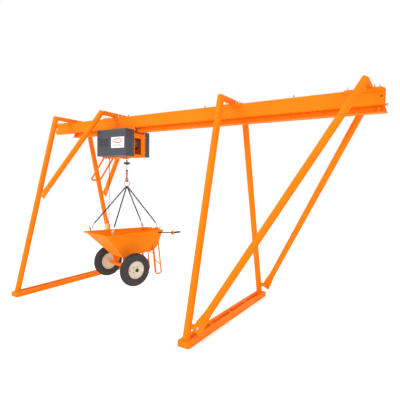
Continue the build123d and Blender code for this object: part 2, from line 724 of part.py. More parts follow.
with BuildPart() as cover_screws:
    cover_spans = ((-1, FRONT_COVER_LEFT, FRONT_COVER_RIGHT), (1, BACK_COVER_LEFT, BACK_COVER_RIGHT))
    for s, left, right in cover_spans:
        y = s * (FRAME_HALF_WIDTH + COVER_STANDOFF + 14)
        for z in (COVER_LOW + 70, BACK_COVER_HIGH - 75):
            with Locations(Plane(origin=(right + SCREW_HEAD / 2, y, z), z_dir=(1, 0, 0))):
                Cylinder(SCREW_R, SCREW_HEAD)
            with Locations(Plane(origin=(left - SCREW_HEAD / 2, y, z), z_dir=(1, 0, 0))):
                Cylinder(SCREW_R, SCREW_HEAD)
            foot_y = s * (FRAME_HALF_WIDTH + COVER_STANDOFF / 2)
            for x in (left + 60, right - 60):
                with Locations(Plane(origin=(x, foot_y, z), z_dir=(0, 1, 0))):
                    Cylinder(SCREW_R, COVER_STANDOFF)
finish(cover_screws, "cover_screws")

gear_y = -FRAME_HALF_WIDTH - 10 - GEARBOX_DEPTH / 2
motor_x = DRUM_X - GEARBOX_R - 8 - MOTOR_LENGTH / 2
motor_z = DRUM_Z - 52
with BuildPart() as gearmotor:
    with Locations(Plane(origin=(DRUM_X, gear_y, DRUM_Z), z_dir=(0, 1, 0))):
        Cylinder(GEARBOX_R, GEARBOX_DEPTH)
    with Locations((DRUM_X, gear_y, motor_z - 20)):
        Box(2 * GEARBOX_R, GEARBOX_DEPTH, 96)
    with Locations(Plane(origin=(motor_x, gear_y, motor_z), z_dir=(1, 0, 0))):
        Cylinder(GEARBOX_DEPTH / 2, MOTOR_LENGTH)
    with Locations(Plane(origin=(DRUM_X - GEARBOX_R - 6, gear_y, motor_z), z_dir=(1, 0, 0))):
        Cylinder(GEARBOX_DEPTH / 2, 20)
    with Locations((DRUM_X, -FRAME_HALF_WIDTH - 5, DRUM_Z - 10)):
        Box(2 * GEARBOX_R + 20, 10, 2 * GEARBOX_R + 30)
    with Locations(Plane(origin=(DRUM_X, -FRAME_HALF_WIDTH - 20, DRUM_Z), z_dir=(0, 1, 0))):
        Cylinder(SHAFT_R + RUNNING_FIT, 40 + 12, mode=Mode.SUBTRACT)
finish(gearmotor, "gearmotor")

fan_x = motor_x - MOTOR_LENGTH / 2 - MOTOR_GAP_FAN - FAN_LENGTH / 2
with BuildPart() as cooling_fan:
    with Locations(Plane(origin=(fan_x, gear_y, motor_z), z_dir=(1, 0, 0))):
        Cylinder(14, FAN_LENGTH)
        Cylinder(GEARBOX_DEPTH / 2 - 4, 3)
    with BuildSketch(Plane(origin=(fan_x - FAN_LENGTH / 2, gear_y, motor_z), x_dir=(0, 1, 0), z_dir=(1, 0, 0))):
        with PolarLocations(25, 7):
            Rectangle(34, 3)
    extrude(amount=FAN_LENGTH)
finish(cooling_fan, "cooling_fan")

with BuildPart() as control_gear:
    control_y = FRAME_HALF_WIDTH + 4
    base_x = (BACK_COVER_LEFT + BACK_COVER_RIGHT) / 2 - 60
    with Locations((base_x, control_y, DRUM_Z - 10)):
        Box(CONTROL_SIZE[0], 8, CONTROL_SIZE[2])
    with Locations((base_x - 80, control_y + 4 + CONTROL_SIZE[1] / 2, DRUM_Z + 20)):
        Box(90, CONTROL_SIZE[1], 100)
    with Locations((base_x + 40, control_y + 4 + CONTROL_SIZE[1] / 2, DRUM_Z + 20)):
        Box(90, CONTROL_SIZE[1], 100)
    with Locations((base_x, control_y + 4 + 15, DRUM_Z - 75)):
        Box(220, 30, 26)
finish(control_gear, "control_gear")



# ---------------------------------------------------------------- limit switch, gland and hook gear
LIMIT_LEVER_Z = 1920.0
limit_x = ROPE_X - 46
with BuildPart() as limit_switch:
    with Locations((limit_x, 0, FRAME_BOTTOM + TRAY_THICKNESS + 26)):
        Box(30, 56, 52)
    with Locations((limit_x + 4, 30, (FRAME_BOTTOM + LIMIT_LEVER_Z) / 2), (limit_x + 4, -30, (FRAME_BOTTOM + LIMIT_LEVER_Z) / 2)):
        Cylinder(3, FRAME_BOTTOM - LIMIT_LEVER_Z)
    with BuildSketch(Plane.XY.offset(LIMIT_LEVER_Z - 4)):
        with Locations((ROPE_X - 20, 0)):
            RectangleRounded(76, 72, 8)
        with Locations((ROPE_X, 0)):
            Circle(ROPE_SLOT_R, mode=Mode.SUBTRACT)
    extrude(amount=4)
finish(limit_switch, "limit_switch")

CORD_TOP = FRAME_BOTTOM - 8
with BuildPart() as cable_gland:
    with BuildSketch(Plane.XY.offset(CORD_TOP)):
        with Locations((CABLE_X, PENDANT_Y)):
            RegularPolygon(11, 6, major_radius=False)
    extrude(amount=FRAME_BOTTOM - CORD_TOP)
    with Locations((CABLE_X, PENDANT_Y, FRAME_BOTTOM + TRAY_THICKNESS / 2)):
        Cylinder(CABLE_R + 3.5, TRAY_THICKNESS)
    with Locations((WIRE_X, PENDANT_Y, FRAME_BOTTOM + TRAY_THICKNESS + 4)):
        Cylinder(6, 8)
    with Locations((WIRE_X, PENDANT_Y, (CORD_TOP + FRAME_BOTTOM + TRAY_THICKNESS) / 2)):
        Cylinder(WIRE_R + 1, FRAME_BOTTOM + TRAY_THICKNESS - CORD_TOP)
finish(cable_gland, "cable_gland")

rope_low = BALL_Z + BALL_R - 4
with BuildPart() as hoist_rope:
    with Locations((ROPE_X, 0, (rope_low + DRUM_Z) / 2)):
        Cylinder(ROPE_R, DRUM_Z - rope_low)
finish(hoist_rope, "hoist_rope")

with BuildPart() as limit_disc:
    with BuildSketch(Plane.XZ):
        with BuildLine():
            Polyline(
                (ROPE_X + ROPE_R + 0.4, DISC_TOP), (ROPE_X + DISC_R, DISC_TOP),
                (ROPE_X + DISC_R, DISC_TOP - DISC_THICKNESS),
                (ROPE_X + 14, DISC_TOP - DISC_THICKNESS - DISC_CONE),
                (ROPE_X + ROPE_R + 0.4, DISC_TOP - DISC_THICKNESS - DISC_CONE), close=True,
            )
        make_face()
    revolve(axis=Axis((ROPE_X, 0, 0), (0, 0, 1)))
    fillet(limit_disc.edges().group_by(Axis.Z)[-1].sort_by(SortBy.RADIUS)[-1], 4)
    with BuildSketch(Plane.XY.offset(DISC_TOP - 1)):
        with Locations((ROPE_X, 0)):
            Circle(9)
            Circle(ROPE_R + 0.4, mode=Mode.SUBTRACT)
    extrude(amount=DISC_SLEEVE)
finish(limit_disc, "limit_disc")

with BuildPart() as rope_ball:
    with Locations((ROPE_X, 0, BALL_Z)):
        Sphere(BALL_R)
    with Locations((ROPE_X, 0, rope_low + 8)):
        Cylinder(7, 20)
    with Locations((ROPE_X, 0, rope_low + 20)):
        Cylinder(ROPE_R, 60, mode=Mode.SUBTRACT)
finish(rope_ball, "rope_ball")

# the load hangs in its own upright frame, turned about the rope: along = tub length, across = tub width
turn = radians(LOAD_TURN)
ALONG = Vector(sin(turn), cos(turn), 0)
ACROSS = Vector(cos(turn), -sin(turn), 0)
ROPE_FOOT = Vector(ROPE_X, 0, 0)


def load_point(along, across, z):
    """Point given by its distances along and across the tub from the rope, and its height."""
    return ROPE_FOOT + ALONG * along + ACROSS * across + Vector(0, 0, z)


def side_plane(across):
    """Upright plane along the tub: local x runs along the tub, local y is height."""
    return Plane(origin=load_point(0, across, 0), x_dir=ALONG, z_dir=ACROSS)


def rod(start, end, radius):
    """Round straight rod between two points."""
    with BuildPart() as piece:
        with BuildSketch(Plane(origin=start, z_dir=end - start)):
            Circle(radius)
        extrude(amount=(end - start).length)
    return piece.part


def bent_rod(points, bend, radius):
    """Round rod along straight runs with rounded bends."""
    with BuildPart() as piece:
        with BuildLine():
            FilletPolyline(*points, radius=bend)
        with BuildSketch(Plane(origin=points[0], z_dir=points[1] - points[0])):
            Circle(radius)
        sweep()
    return piece.part


hook_bowl_r = HOOK_THROAT + HOOK_BAR_R - 5
ring_z = RING_TOP - RING_WIRE_R - RING_MEAN_R
hook_bottom_z = RING_TOP - 2 * RING_WIRE_R - HANG_GAP - HOOK_BAR_R
bowl_z = hook_bottom_z + hook_bowl_r
HOOK_PLANE = Plane(origin=load_point(0, 0, 0), x_dir=ACROSS, z_dir=ACROSS.cross(Vector(0, 0, 1)))
lean = radians(HOOK_LEAN)
back_start = (-hook_bowl_r * cos(lean), bowl_z + hook_bowl_r * sin(lean))
back_end = (0, back_start[1] + hook_bowl_r * cos(lean) * cos(lean) / sin(lean))
with BuildPart() as swivel_hook:
    with BuildLine(HOOK_PLANE):
        bowl = ThreePointArc((hook_bowl_r, bowl_z), (0, hook_bottom_z), back_start)
        Line(bowl @ 1, HOOK_PLANE.from_local_coords((back_end[0], back_end[1], 0)))
    with BuildSketch(Plane(origin=bowl @ 0, z_dir=bowl % 0)):
        Circle(HOOK_BAR_R)
    sweep()
    with Locations(load_point(0, hook_bowl_r, bowl_z + 7)):
        Cone(HOOK_BAR_R, HOOK_BAR_R * 0.55, 14)
    with Locations((ROPE_X, 0, (back_end[1] - 7 + HOOK_TOP) / 2)):
        Cylinder(HOOK_SHANK_R, HOOK_TOP - back_end[1] + 7)
    with Locations((ROPE_X, 0, HOOK_TOP - 10)):
        Cylinder(HOOK_SHANK_R + 3, 16)
finish(swivel_hook, "swivel_hook")

latch_top = (4.0, bowl_z + 35)
latch_tip = (hook_bowl_r - HOOK_BAR_R - 1.0, bowl_z + 10)
latch_from = load_point(0, latch_top[0], latch_top[1])
latch_to = load_point(0, latch_tip[0], latch_tip[1])
latch_dir = (latch_to - latch_from).normalized()
with BuildPart() as safety_latch:
    with BuildSketch(Plane(origin=latch_from, x_dir=ALONG, z_dir=latch_dir)):
        RectangleRounded(12, 3, 1)
    extrude(amount=(latch_to - latch_from).length)
finish(safety_latch, "safety_latch")

with BuildPart() as sling_ring:
    with Locations(Plane(origin=load_point(0, 0, ring_z), z_dir=ACROSS)):
        Torus(RING_MEAN_R, RING_WIRE_R)
finish(sling_ring, "sling_ring")


# ---------------------------------------------------------------- tub
def rim_half(along):
    """Half width of the tub's rim at a distance along it."""
    share = (along - RIM_FRONT) / (RIM_REAR - RIM_FRONT)
    return RIM_FRONT_HALF + (RIM_REAR_HALF - RIM_FRONT_HALF) * share


with BuildPart() as tub_outer:
    with BuildSketch(side_plane(0)) as tub_side:
        with BuildLine():
            Polyline(
                (RIM_FRONT, RIM_Z), (TUB_BOTTOM_FRONT, TUB_BOTTOM_Z), TUB_HEEL, (RIM_REAR, RIM_Z), close=True,
            )
        make_face()
        fillet(tub_side.vertices().sort_by_distance((TUB_HEEL[0], TUB_HEEL[1], 0))[0], TUB_HEEL_ROUND)
    extrude(amount=RIM_FRONT_HALF + 60, both=True)
    for s in (-1, 1):
        front_corner = load_point(RIM_FRONT, s * RIM_FRONT_HALF, RIM_Z)
        rear_corner = load_point(RIM_REAR, s * RIM_REAR_HALF, RIM_Z)
        low_corner = load_point(TUB_BOTTOM_FRONT, s * TUB_BOTTOM_HALF, TUB_BOTTOM_Z)
        normal = (rear_corner - front_corner).cross(low_corner - front_corner).normalized()
        outward = normal if normal.dot(ACROSS * s) > 0 else normal * -1
        split(bisect_by=Plane(origin=front_corner, z_dir=outward), keep=Keep.BOTTOM)

with BuildPart() as rim_lip:
    with BuildSketch(Plane(origin=load_point(0, 0, RIM_Z), x_dir=ALONG, z_dir=(0, 0, 1))):
        with BuildLine():
            Polyline(
                (RIM_FRONT, RIM_FRONT_HALF), (RIM_REAR, RIM_REAR_HALF),
                (RIM_REAR, -RIM_REAR_HALF), (RIM_FRONT, -RIM_FRONT_HALF), close=True,
            )
        make_face()
        offset(amount=RIM_LIP)
    extrude(amount=-RIM_LIP_DROP)
    add(tub_outer.part, mode=Mode.SUBTRACT)

with BuildPart() as tub:
    add(tub_outer.part)
    offset(amount=-TUB_SHEET, openings=tub.faces().sort_by(Axis.Z)[-1])
    add(rim_lip.part)
finish(tub, "tub")

eye_places = [(l, s * (rim_half(l) + 2)) for l in TUB_EYE_L for s in (-1, 1)]
eye_z = RIM_Z + TUB_EYE_R + TUB_EYE_ROD
CHAIN_TOP_Z = ring_z - RING_MEAN_R - RING_WIRE_R - 10
sling_lines = []
for l, w in eye_places:
    radial = (ALONG * l + ACROSS * w).normalized()
    crown = load_point(l, w, eye_z + TUB_EYE_R)
    chain_top = ROPE_FOOT + radial * CHAIN_TOP_R + Vector(0, 0, CHAIN_TOP_Z)
    sling_lines.append((radial, crown, chain_top))

with BuildPart() as tub_eyes:
    for (l, w), (radial, crown, chain_top) in zip(eye_places, sling_lines):
        with Locations(Plane(origin=load_point(l, w, eye_z), z_dir=radial)):
            Torus(TUB_EYE_R, TUB_EYE_ROD)
finish(tub_eyes, "tub_eyes")


def sling_hook_part(radial, crown, chain_top):
    """J-shaped hook in the upright plane of its chain, its bowl just under the crown of a tub eye."""
    pull = (chain_top - crown).normalized()
    bottom = crown - pull * (TUB_EYE_ROD + SLING_HOOK_R + HANG_GAP)
    sideways = (radial - pull * radial.dot(pull)).normalized()
    r = SLING_HOOK_BOWL

    def at(out, up):
        return bottom + sideways * out + pull * up

    with BuildPart() as piece:
        with BuildLine():
            tip = Line(at(r, r + 12), at(r, r))
            arc = ThreePointArc(at(r, r), bottom, at(-r, r))
            back = Spline(at(-r, r), at(-r * 0.8, r + 22), at(0, SLING_HOOK_LENGTH - 16), tangents=(pull, pull))
            Line(back @ 1, at(0, SLING_HOOK_LENGTH))
        with BuildSketch(Plane(origin=tip @ 0, z_dir=tip % 0)):
            Circle(SLING_HOOK_R)
        sweep()
    return piece.part


with BuildPart() as sling_hooks:
    for radial, crown, chain_top in sling_lines:
        add(sling_hook_part(radial, crown, chain_top))
finish(sling_hooks, "sling_hooks")

with BuildPart() as sling_chains:
    for radial, crown, chain_top in sling_lines:
        pull = (chain_top - crown).normalized()
        bottom = crown - pull * (TUB_EYE_ROD + SLING_HOOK_R + HANG_GAP)
        add(rod(bottom + pull * SLING_HOOK_LENGTH, chain_top, CHAIN_R))
finish(sling_chains, "sling_chains")

# ---------------------------------------------------------------- cart under the tub
beam_half = CART_TRACK_HALF - TYRE_WIDTH / 2 - 14
with BuildPart() as cart_frame:
    for w in (-TUB_BOTTOM_HALF + 30, TUB_BOTTOM_HALF - 30):
        with BuildSketch(side_plane(w - 4)):
            with BuildLine():
                Polyline(
                    (CART_AXLE_L - 24, CART_AXLE_Z), (CART_AXLE_L - 70, TUB_BOTTOM_Z + 40),
                    (CART_AXLE_L + 130, TUB_BOTTOM_Z + 60), (CART_AXLE_L + 30, CART_AXLE_Z), close=True,
                )
            make_face()
        extrude(amount=8)
    add(tub_outer.part, mode=Mode.SUBTRACT)
    with BuildSketch(side_plane(-beam_half)):
        with Locations((CART_AXLE_L, CART_AXLE_Z)):
            Rectangle(CART_BEAM + 2 * WELD_GAP + 40, CART_BEAM + 2 * WELD_GAP)
    extrude(amount=2 * beam_half, mode=Mode.SUBTRACT)
    with BuildSketch(side_plane(-beam_half)):
        with Locations((CART_AXLE_L, CART_AXLE_Z)):
            RectangleRounded(CART_BEAM, CART_BEAM, 4)
    extrude(amount=2 * beam_half)
    for s in (-1, 1):
        low = load_point(CART_AXLE_L, s * (beam_half - 20), CART_AXLE_Z)
        high = load_point(CART_AXLE_L, s * (CART_TRACK_HALF + TYRE_WIDTH / 2 + 10), CART_AXLE_Z)
        add(rod(low, high, CART_AXLE_R - RUNNING_FIT))
        with Locations(Plane(origin=high - ACROSS * s * 4, z_dir=ACROSS)):
            Cylinder(20, 8)
finish(cart_frame, "cart_frame")

for name, s in (("left", -1), ("right", 1)):
    hub = load_point(CART_AXLE_L, s * CART_TRACK_HALF, CART_AXLE_Z)
    spin_axis = Axis(hub, ACROSS)
    section = Plane(origin=hub, x_dir=ALONG, z_dir=ALONG.cross(ACROSS))
    mid_r = (CART_WHEEL_R + RIM_R - 6) / 2
    with BuildPart() as tyre:
        with BuildSketch(section):
            with Locations((mid_r, 0)):
                Ellipse(CART_WHEEL_R - mid_r, TYRE_SECTION_R)
        revolve(axis=spin_axis)
        with Locations(Plane(origin=hub, z_dir=ACROSS)):
            Cylinder(RIM_R, 2 * TYRE_WIDTH, mode=Mode.SUBTRACT)
    finish(tyre, f"tyre_{name}")
    with BuildPart() as rim:
        with Locations(Plane(origin=hub, z_dir=ACROSS)):
            Cylinder(RIM_R, 64)
            Cylinder(RIM_R - 10, 66, mode=Mode.SUBTRACT)
            Cylinder(RIM_R - 9, 10)
            Cylinder(26, TYRE_WIDTH - 4)
            Cylinder(CART_AXLE_R, 2 * TYRE_WIDTH, mode=Mode.SUBTRACT)
        with Locations(Plane(origin=hub, x_dir=ALONG, z_dir=ACROSS)):
            with Locations((-VALVE_RADIUS_AT, 0)):
                Cylinder(VALVE_R, 3 * TYRE_WIDTH, mode=Mode.SUBTRACT)
    finish(rim, f"rim_{name}")

STAND_TOP_FRONT = (355.0, 652.0)
STAND_FOOT_FRONT = 405.0
STAND_FOOT_REAR = 507.0
STAND_TOP_REAR = (445.0, 704.0)
with BuildPart() as cart_stands:
    for w in (-STAND_W, STAND_W):
        foot_z = STAND_FOOT_Z + STAND_BAR_R
        corners = [
            load_point(STAND_TOP_FRONT[0], w, STAND_TOP_FRONT[1]), load_point(STAND_FOOT_FRONT, w, foot_z),
            load_point(STAND_FOOT_REAR, w, foot_z), load_point(STAND_TOP_REAR[0], w, STAND_TOP_REAR[1]),
        ]
        add(bent_rod(corners, 30, STAND_BAR_R))
        add(rod(corners[0], corners[1] + (corners[0] - corners[1]) * 0.08, STAND_FRONT_R))
        add(rod(load_point(383, w, 460), load_point(487, w, 370), 7))
        add(rod(load_point(265, w * 0.8, 605), load_point(366, w, 545), 7))
    add(tub_outer.part, mode=Mode.SUBTRACT)
finish(cart_stands, "cart_stands")

with BuildPart() as cart_handles:
    for s in (-1, 1):
        corners = [
            load_point(405, s * 206, 858), load_point(560, s * 262, 852),
            load_point(606, s * GRIP_W, GRIP_Z), load_point(GRIP_START + GRIP_LENGTH - 4, s * GRIP_W, GRIP_Z),
        ]
        add(bent_rod(corners, 30, HANDLE_ROD_R))
        with Locations(Plane(origin=load_point(GRIP_START - 4, s * GRIP_W, GRIP_Z), z_dir=ALONG)):
            Cylinder(GUARD_R, 6)
    add(tub_outer.part, mode=Mode.SUBTRACT)
finish(cart_handles, "cart_handles")

with BuildPart() as grips:
    for s in (-1, 1):
        with BuildSketch(Plane(origin=load_point(GRIP_START, s * GRIP_W, GRIP_Z), z_dir=ALONG)):
            Circle(GRIP_R)
        extrude(amount=GRIP_LENGTH)
    fillet(grips.edges().filter_by(GeomType.CIRCLE).group_by(Axis.Y)[-1], 4)
    add(cart_handles.part, mode=Mode.SUBTRACT)
finish(grips, "grips")

# ---------------------------------------------------------------- pendant control
case_x = (WIRE_X + CABLE_X) / 2
case_z = PENDANT_TOP - PENDANT_SIZE[2] / 2
button_zs = {"up_button": PENDANT_TOP - 62, "down_button": PENDANT_TOP - 108}
case_face_y = PENDANT_Y - PENDANT_SIZE[1] / 2
button_out = 7.0
well_depth = 16.0
with BuildPart() as pendant_case:
    with Locations((case_x, PENDANT_Y, case_z)):
        Box(*PENDANT_SIZE)
    fillet(pendant_case.edges(), 7)
    with Locations((WIRE_X + 5, PENDANT_Y, PENDANT_TOP)):
        Box(12, 10, 12)
    with Locations((CABLE_X - 8, PENDANT_Y, PENDANT_TOP + 3)):
        Cylinder(9, 12)
    for z in button_zs.values():
        with BuildSketch(Plane(origin=(case_x, case_face_y, z), z_dir=(0, 1, 0))):
            Circle(BUTTON_R + BUTTON_CLEARANCE)
        extrude(amount=well_depth, mode=Mode.SUBTRACT)
finish(pendant_case, "pendant_case")

for name, z in button_zs.items():
    with BuildPart() as button:
        with BuildSketch(Plane(origin=(case_x, case_face_y - button_out, z), z_dir=(0, 1, 0))):
            Circle(BUTTON_R)
        extrude(amount=well_depth + button_out - BUTTON_TRAVEL - 1)
        fillet(button.edges().sort_by(Axis.Y)[0], 2.5)
    finish(button, name)

wire_low = PENDANT_TOP + 6
with BuildPart() as strain_wire:
    with BuildSketch(Plane(origin=(WIRE_X, PENDANT_Y, wire_low))):
        Circle(WIRE_R)
    extrude(amount=CORD_TOP - 0.5 - wire_low)
finish(strain_wire, "strain_wire")

# the control cable hangs nearly straight, with the slow waver of a slack cable
CABLE_RUNS = 17
CABLE_WAVER = 5.0
cable_low = PENDANT_TOP + 9.6
cable_high = CORD_TOP - 0.5
cable_points = []
for i in range(CABLE_RUNS + 1):
    share = i / CABLE_RUNS
    z = cable_high + (cable_low - cable_high) * share
    settle = sin(radians(180 * share))
    drift_x = CABLE_WAVER * settle * sin(radians(75 * i)) - 8 * share
    drift_y = 0.8 * CABLE_WAVER * settle * cos(radians(75 * i) + 0.6)
    cable_points.append(Vector(CABLE_X + drift_x, PENDANT_Y + drift_y, z))
cable_radii = []
for before, here, after in zip(cable_points, cable_points[1:], cable_points[2:]):
    half_turn = radians((here - before).get_angle(after - here)) / 2
    shorter = min((here - before).length, (after - here).length)
    cable_radii.append(0.45 * shorter / tan(half_turn))
print("cable bend radii", [round(r) for r in cable_radii])
with BuildPart() as pendant_cable:
    with BuildLine() as cable_line:
        FilletPolyline(*cable_points, radius=cable_radii)
    with BuildSketch(Plane(origin=cable_line.line @ 0, z_dir=cable_line.line % 0)):
        Circle(CABLE_R)
    sweep()
cable_length = sum(edge.length for edge in cable_line.edges())
section_area = 3.14159 * CABLE_R**2
print("cable length", round(cable_length), "share", round(pendant_cable.part.volume / cable_length / section_area, 3))
finish(pendant_cable, "pendant_cable")
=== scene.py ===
"""Looks of a portable gantry crane: finishes, camera, light and the pieces too fine for the fixed frame."""

from __future__ import annotations

import json
import logging
import math
from dataclasses import dataclass
from enum import Enum
from typing import Callable, Iterable, Sequence

import bmesh
import bpy
from mathutils import Matrix, Quaternion, Vector

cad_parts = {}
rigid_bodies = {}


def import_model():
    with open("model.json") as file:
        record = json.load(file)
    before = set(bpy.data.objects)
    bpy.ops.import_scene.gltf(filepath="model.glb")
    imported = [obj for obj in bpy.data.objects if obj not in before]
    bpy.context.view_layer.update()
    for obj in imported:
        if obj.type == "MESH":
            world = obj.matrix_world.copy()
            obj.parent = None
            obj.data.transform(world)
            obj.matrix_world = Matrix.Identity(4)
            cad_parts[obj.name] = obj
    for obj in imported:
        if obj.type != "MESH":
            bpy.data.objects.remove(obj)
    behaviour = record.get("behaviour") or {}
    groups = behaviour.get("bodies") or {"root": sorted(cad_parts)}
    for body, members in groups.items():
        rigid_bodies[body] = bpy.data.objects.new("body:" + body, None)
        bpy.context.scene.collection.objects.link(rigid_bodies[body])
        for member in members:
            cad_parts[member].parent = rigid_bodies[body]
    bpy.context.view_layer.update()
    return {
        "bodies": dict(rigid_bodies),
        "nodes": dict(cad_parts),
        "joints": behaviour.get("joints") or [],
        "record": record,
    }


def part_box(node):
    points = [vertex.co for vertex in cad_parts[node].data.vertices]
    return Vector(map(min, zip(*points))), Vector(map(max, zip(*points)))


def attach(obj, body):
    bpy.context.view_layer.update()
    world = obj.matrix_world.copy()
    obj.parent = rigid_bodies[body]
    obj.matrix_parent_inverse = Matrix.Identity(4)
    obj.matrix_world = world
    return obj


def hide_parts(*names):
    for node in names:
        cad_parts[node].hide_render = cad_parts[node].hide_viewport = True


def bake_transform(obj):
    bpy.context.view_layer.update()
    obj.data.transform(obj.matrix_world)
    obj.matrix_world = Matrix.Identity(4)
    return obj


LOG = logging.getLogger("crane")

MM = 0.001
ROPE_X = -0.877
LOAD_TURN = math.radians(15.9)
ALONG = Vector((math.sin(LOAD_TURN), math.cos(LOAD_TURN), 0.0))
ACROSS = Vector((math.cos(LOAD_TURN), -math.sin(LOAD_TURN), 0.0))
UP = Vector((0.0, 0.0, 1.0))


def load_point(along: float, across: float, z: float) -> Vector:
    """Place given by distances along and across the tub from the rope, and a height.

    Args:
        along: Distance along the tub, metres.
        across: Distance across the tub, metres.
        z: Height, metres.

    Returns:
        The point in the row frame.
    """
    return Vector((ROPE_X, 0.0, z)) + ALONG * along + ACROSS * across


def place_in_scene(name: str, data: bpy.types.ID) -> bpy.types.Object:
    """Wrap data in an object and link it to the scene.

    Args:
        name: Object name.
        data: Mesh, curve, lamp or camera data.

    Returns:
        The object.
    """
    thing = bpy.data.objects.new(name, data)
    bpy.context.scene.collection.objects.link(thing)
    return thing


@dataclass(frozen=True)
class Finish:
    """One surface finish: two tones in soft patches over a fine grain."""

    name: str
    color: tuple[float, float, float]
    worn: tuple[float, float, float]
    roughness: float
    metallic: float = 0.0
    coat: float = 0.0
    specular: float = 0.5
    patch_scale: float = 3.0
    patch_amount: float = 0.35
    grain_scale: float = 260.0
    bump: float = 0.05


ORANGE = Finish(
    "orange_enamel", (0.88, 0.190, 0.001), (0.78, 0.145, 0.001), 0.5, specular=0.08,
    patch_scale=2.2, patch_amount=0.4, grain_scale=320.0, bump=0.03,
)
TUB_ORANGE = Finish(
    "tub_enamel", (0.90, 0.220, 0.001), (0.80, 0.17, 0.001), 0.5, specular=0.07,
    patch_scale=3.0, patch_amount=0.35, grain_scale=380.0, bump=0.03,
)
BLACK = Finish(
    "black_enamel", (0.040, 0.044, 0.056), (0.055, 0.058, 0.068), 0.42, specular=0.45,
    patch_scale=9.0, patch_amount=0.5, grain_scale=420.0, bump=0.05,
)
DARK = Finish(
    "dark_oiled_steel", (0.045, 0.04, 0.038), (0.14, 0.11, 0.09), 0.42, metallic=0.75,
    patch_scale=60.0, patch_amount=0.6, grain_scale=700.0, bump=0.1,
)
STEEL = Finish(
    "zinc_steel", (0.56, 0.55, 0.53), (0.36, 0.34, 0.32), 0.3, metallic=1.0,
    patch_scale=40.0, patch_amount=0.5, grain_scale=700.0, bump=0.06,
)
ROPE = Finish(
    "rope_steel", (0.30, 0.25, 0.21), (0.16, 0.13, 0.11), 0.55, metallic=0.3,
    patch_scale=90.0, patch_amount=0.7, grain_scale=900.0, bump=0.2,
)
ROPE_DARK = Finish(
    "greased_rope", (0.07, 0.06, 0.055), (0.15, 0.12, 0.10), 0.5, metallic=0.5,
    patch_scale=90.0, patch_amount=0.7, grain_scale=900.0, bump=0.2,
)
RED = Finish(
    "hook_red", (0.60, 0.03, 0.06), (0.36, 0.02, 0.03), 0.4, specular=0.4,
    patch_scale=50.0, patch_amount=0.5, grain_scale=700.0, bump=0.06,
)
TYRE = Finish(
    "tyre_rubber", (0.020, 0.019, 0.020), (0.042, 0.039, 0.038), 0.62,
    patch_scale=30.0, patch_amount=0.6, grain_scale=600.0, bump=0.15,
)
CREAM = Finish(
    "cream_enamel", (0.70, 0.64, 0.49), (0.42, 0.36, 0.26), 0.45, specular=0.35,
    patch_scale=24.0, patch_amount=0.5, grain_scale=500.0, bump=0.05,
)
RUBBER = Finish(
    "grip_rubber", (0.014, 0.014, 0.014), (0.03, 0.03, 0.03), 0.62,
    patch_scale=60.0, patch_amount=0.5, grain_scale=900.0, bump=0.12,
)
CASE = Finish(
    "pendant_shell", (0.86, 0.46, 0.14), (0.74, 0.38, 0.10), 0.42,
    patch_scale=30.0, patch_amount=0.4, grain_scale=900.0, bump=0.08,
)
KEY_LIGHT = Finish("pale_key", (0.75, 0.75, 0.70), (0.6, 0.6, 0.56), 0.3, coat=0.2, patch_scale=80.0)
KEY_DARK = Finish("dark_key", (0.02, 0.02, 0.02), (0.04, 0.04, 0.04), 0.3, coat=0.2, patch_scale=80.0)
LABEL = Finish("label_film", (0.80, 0.80, 0.78), (0.70, 0.70, 0.67), 0.4, patch_scale=40.0)
MARK = Finish("label_mark", (0.60, 0.02, 0.02), (0.45, 0.02, 0.02), 0.4, patch_scale=40.0)
# Painted shade: matt near-black for the sheet that stands in for the shadowed space behind the cover's vents.
SHADE = Finish("inner_black", (0.012, 0.012, 0.013), (0.02, 0.02, 0.02), 0.8, specular=0.1)

SLOT_FINISH = {
    "orange": ORANGE,
    "black": BLACK,
    "dark": DARK,
    "steel": STEEL,
    "rope": ROPE,
    "red": RED,
    "tyre": TYRE,
    "cream": CREAM,
    "rubber": RUBBER,
    "pendant": CASE,
    "button_light": KEY_LIGHT,
    "button_dark": KEY_DARK,
}
NODE_FINISH = {"tub": TUB_ORANGE, "tub_eyes": TUB_ORANGE}


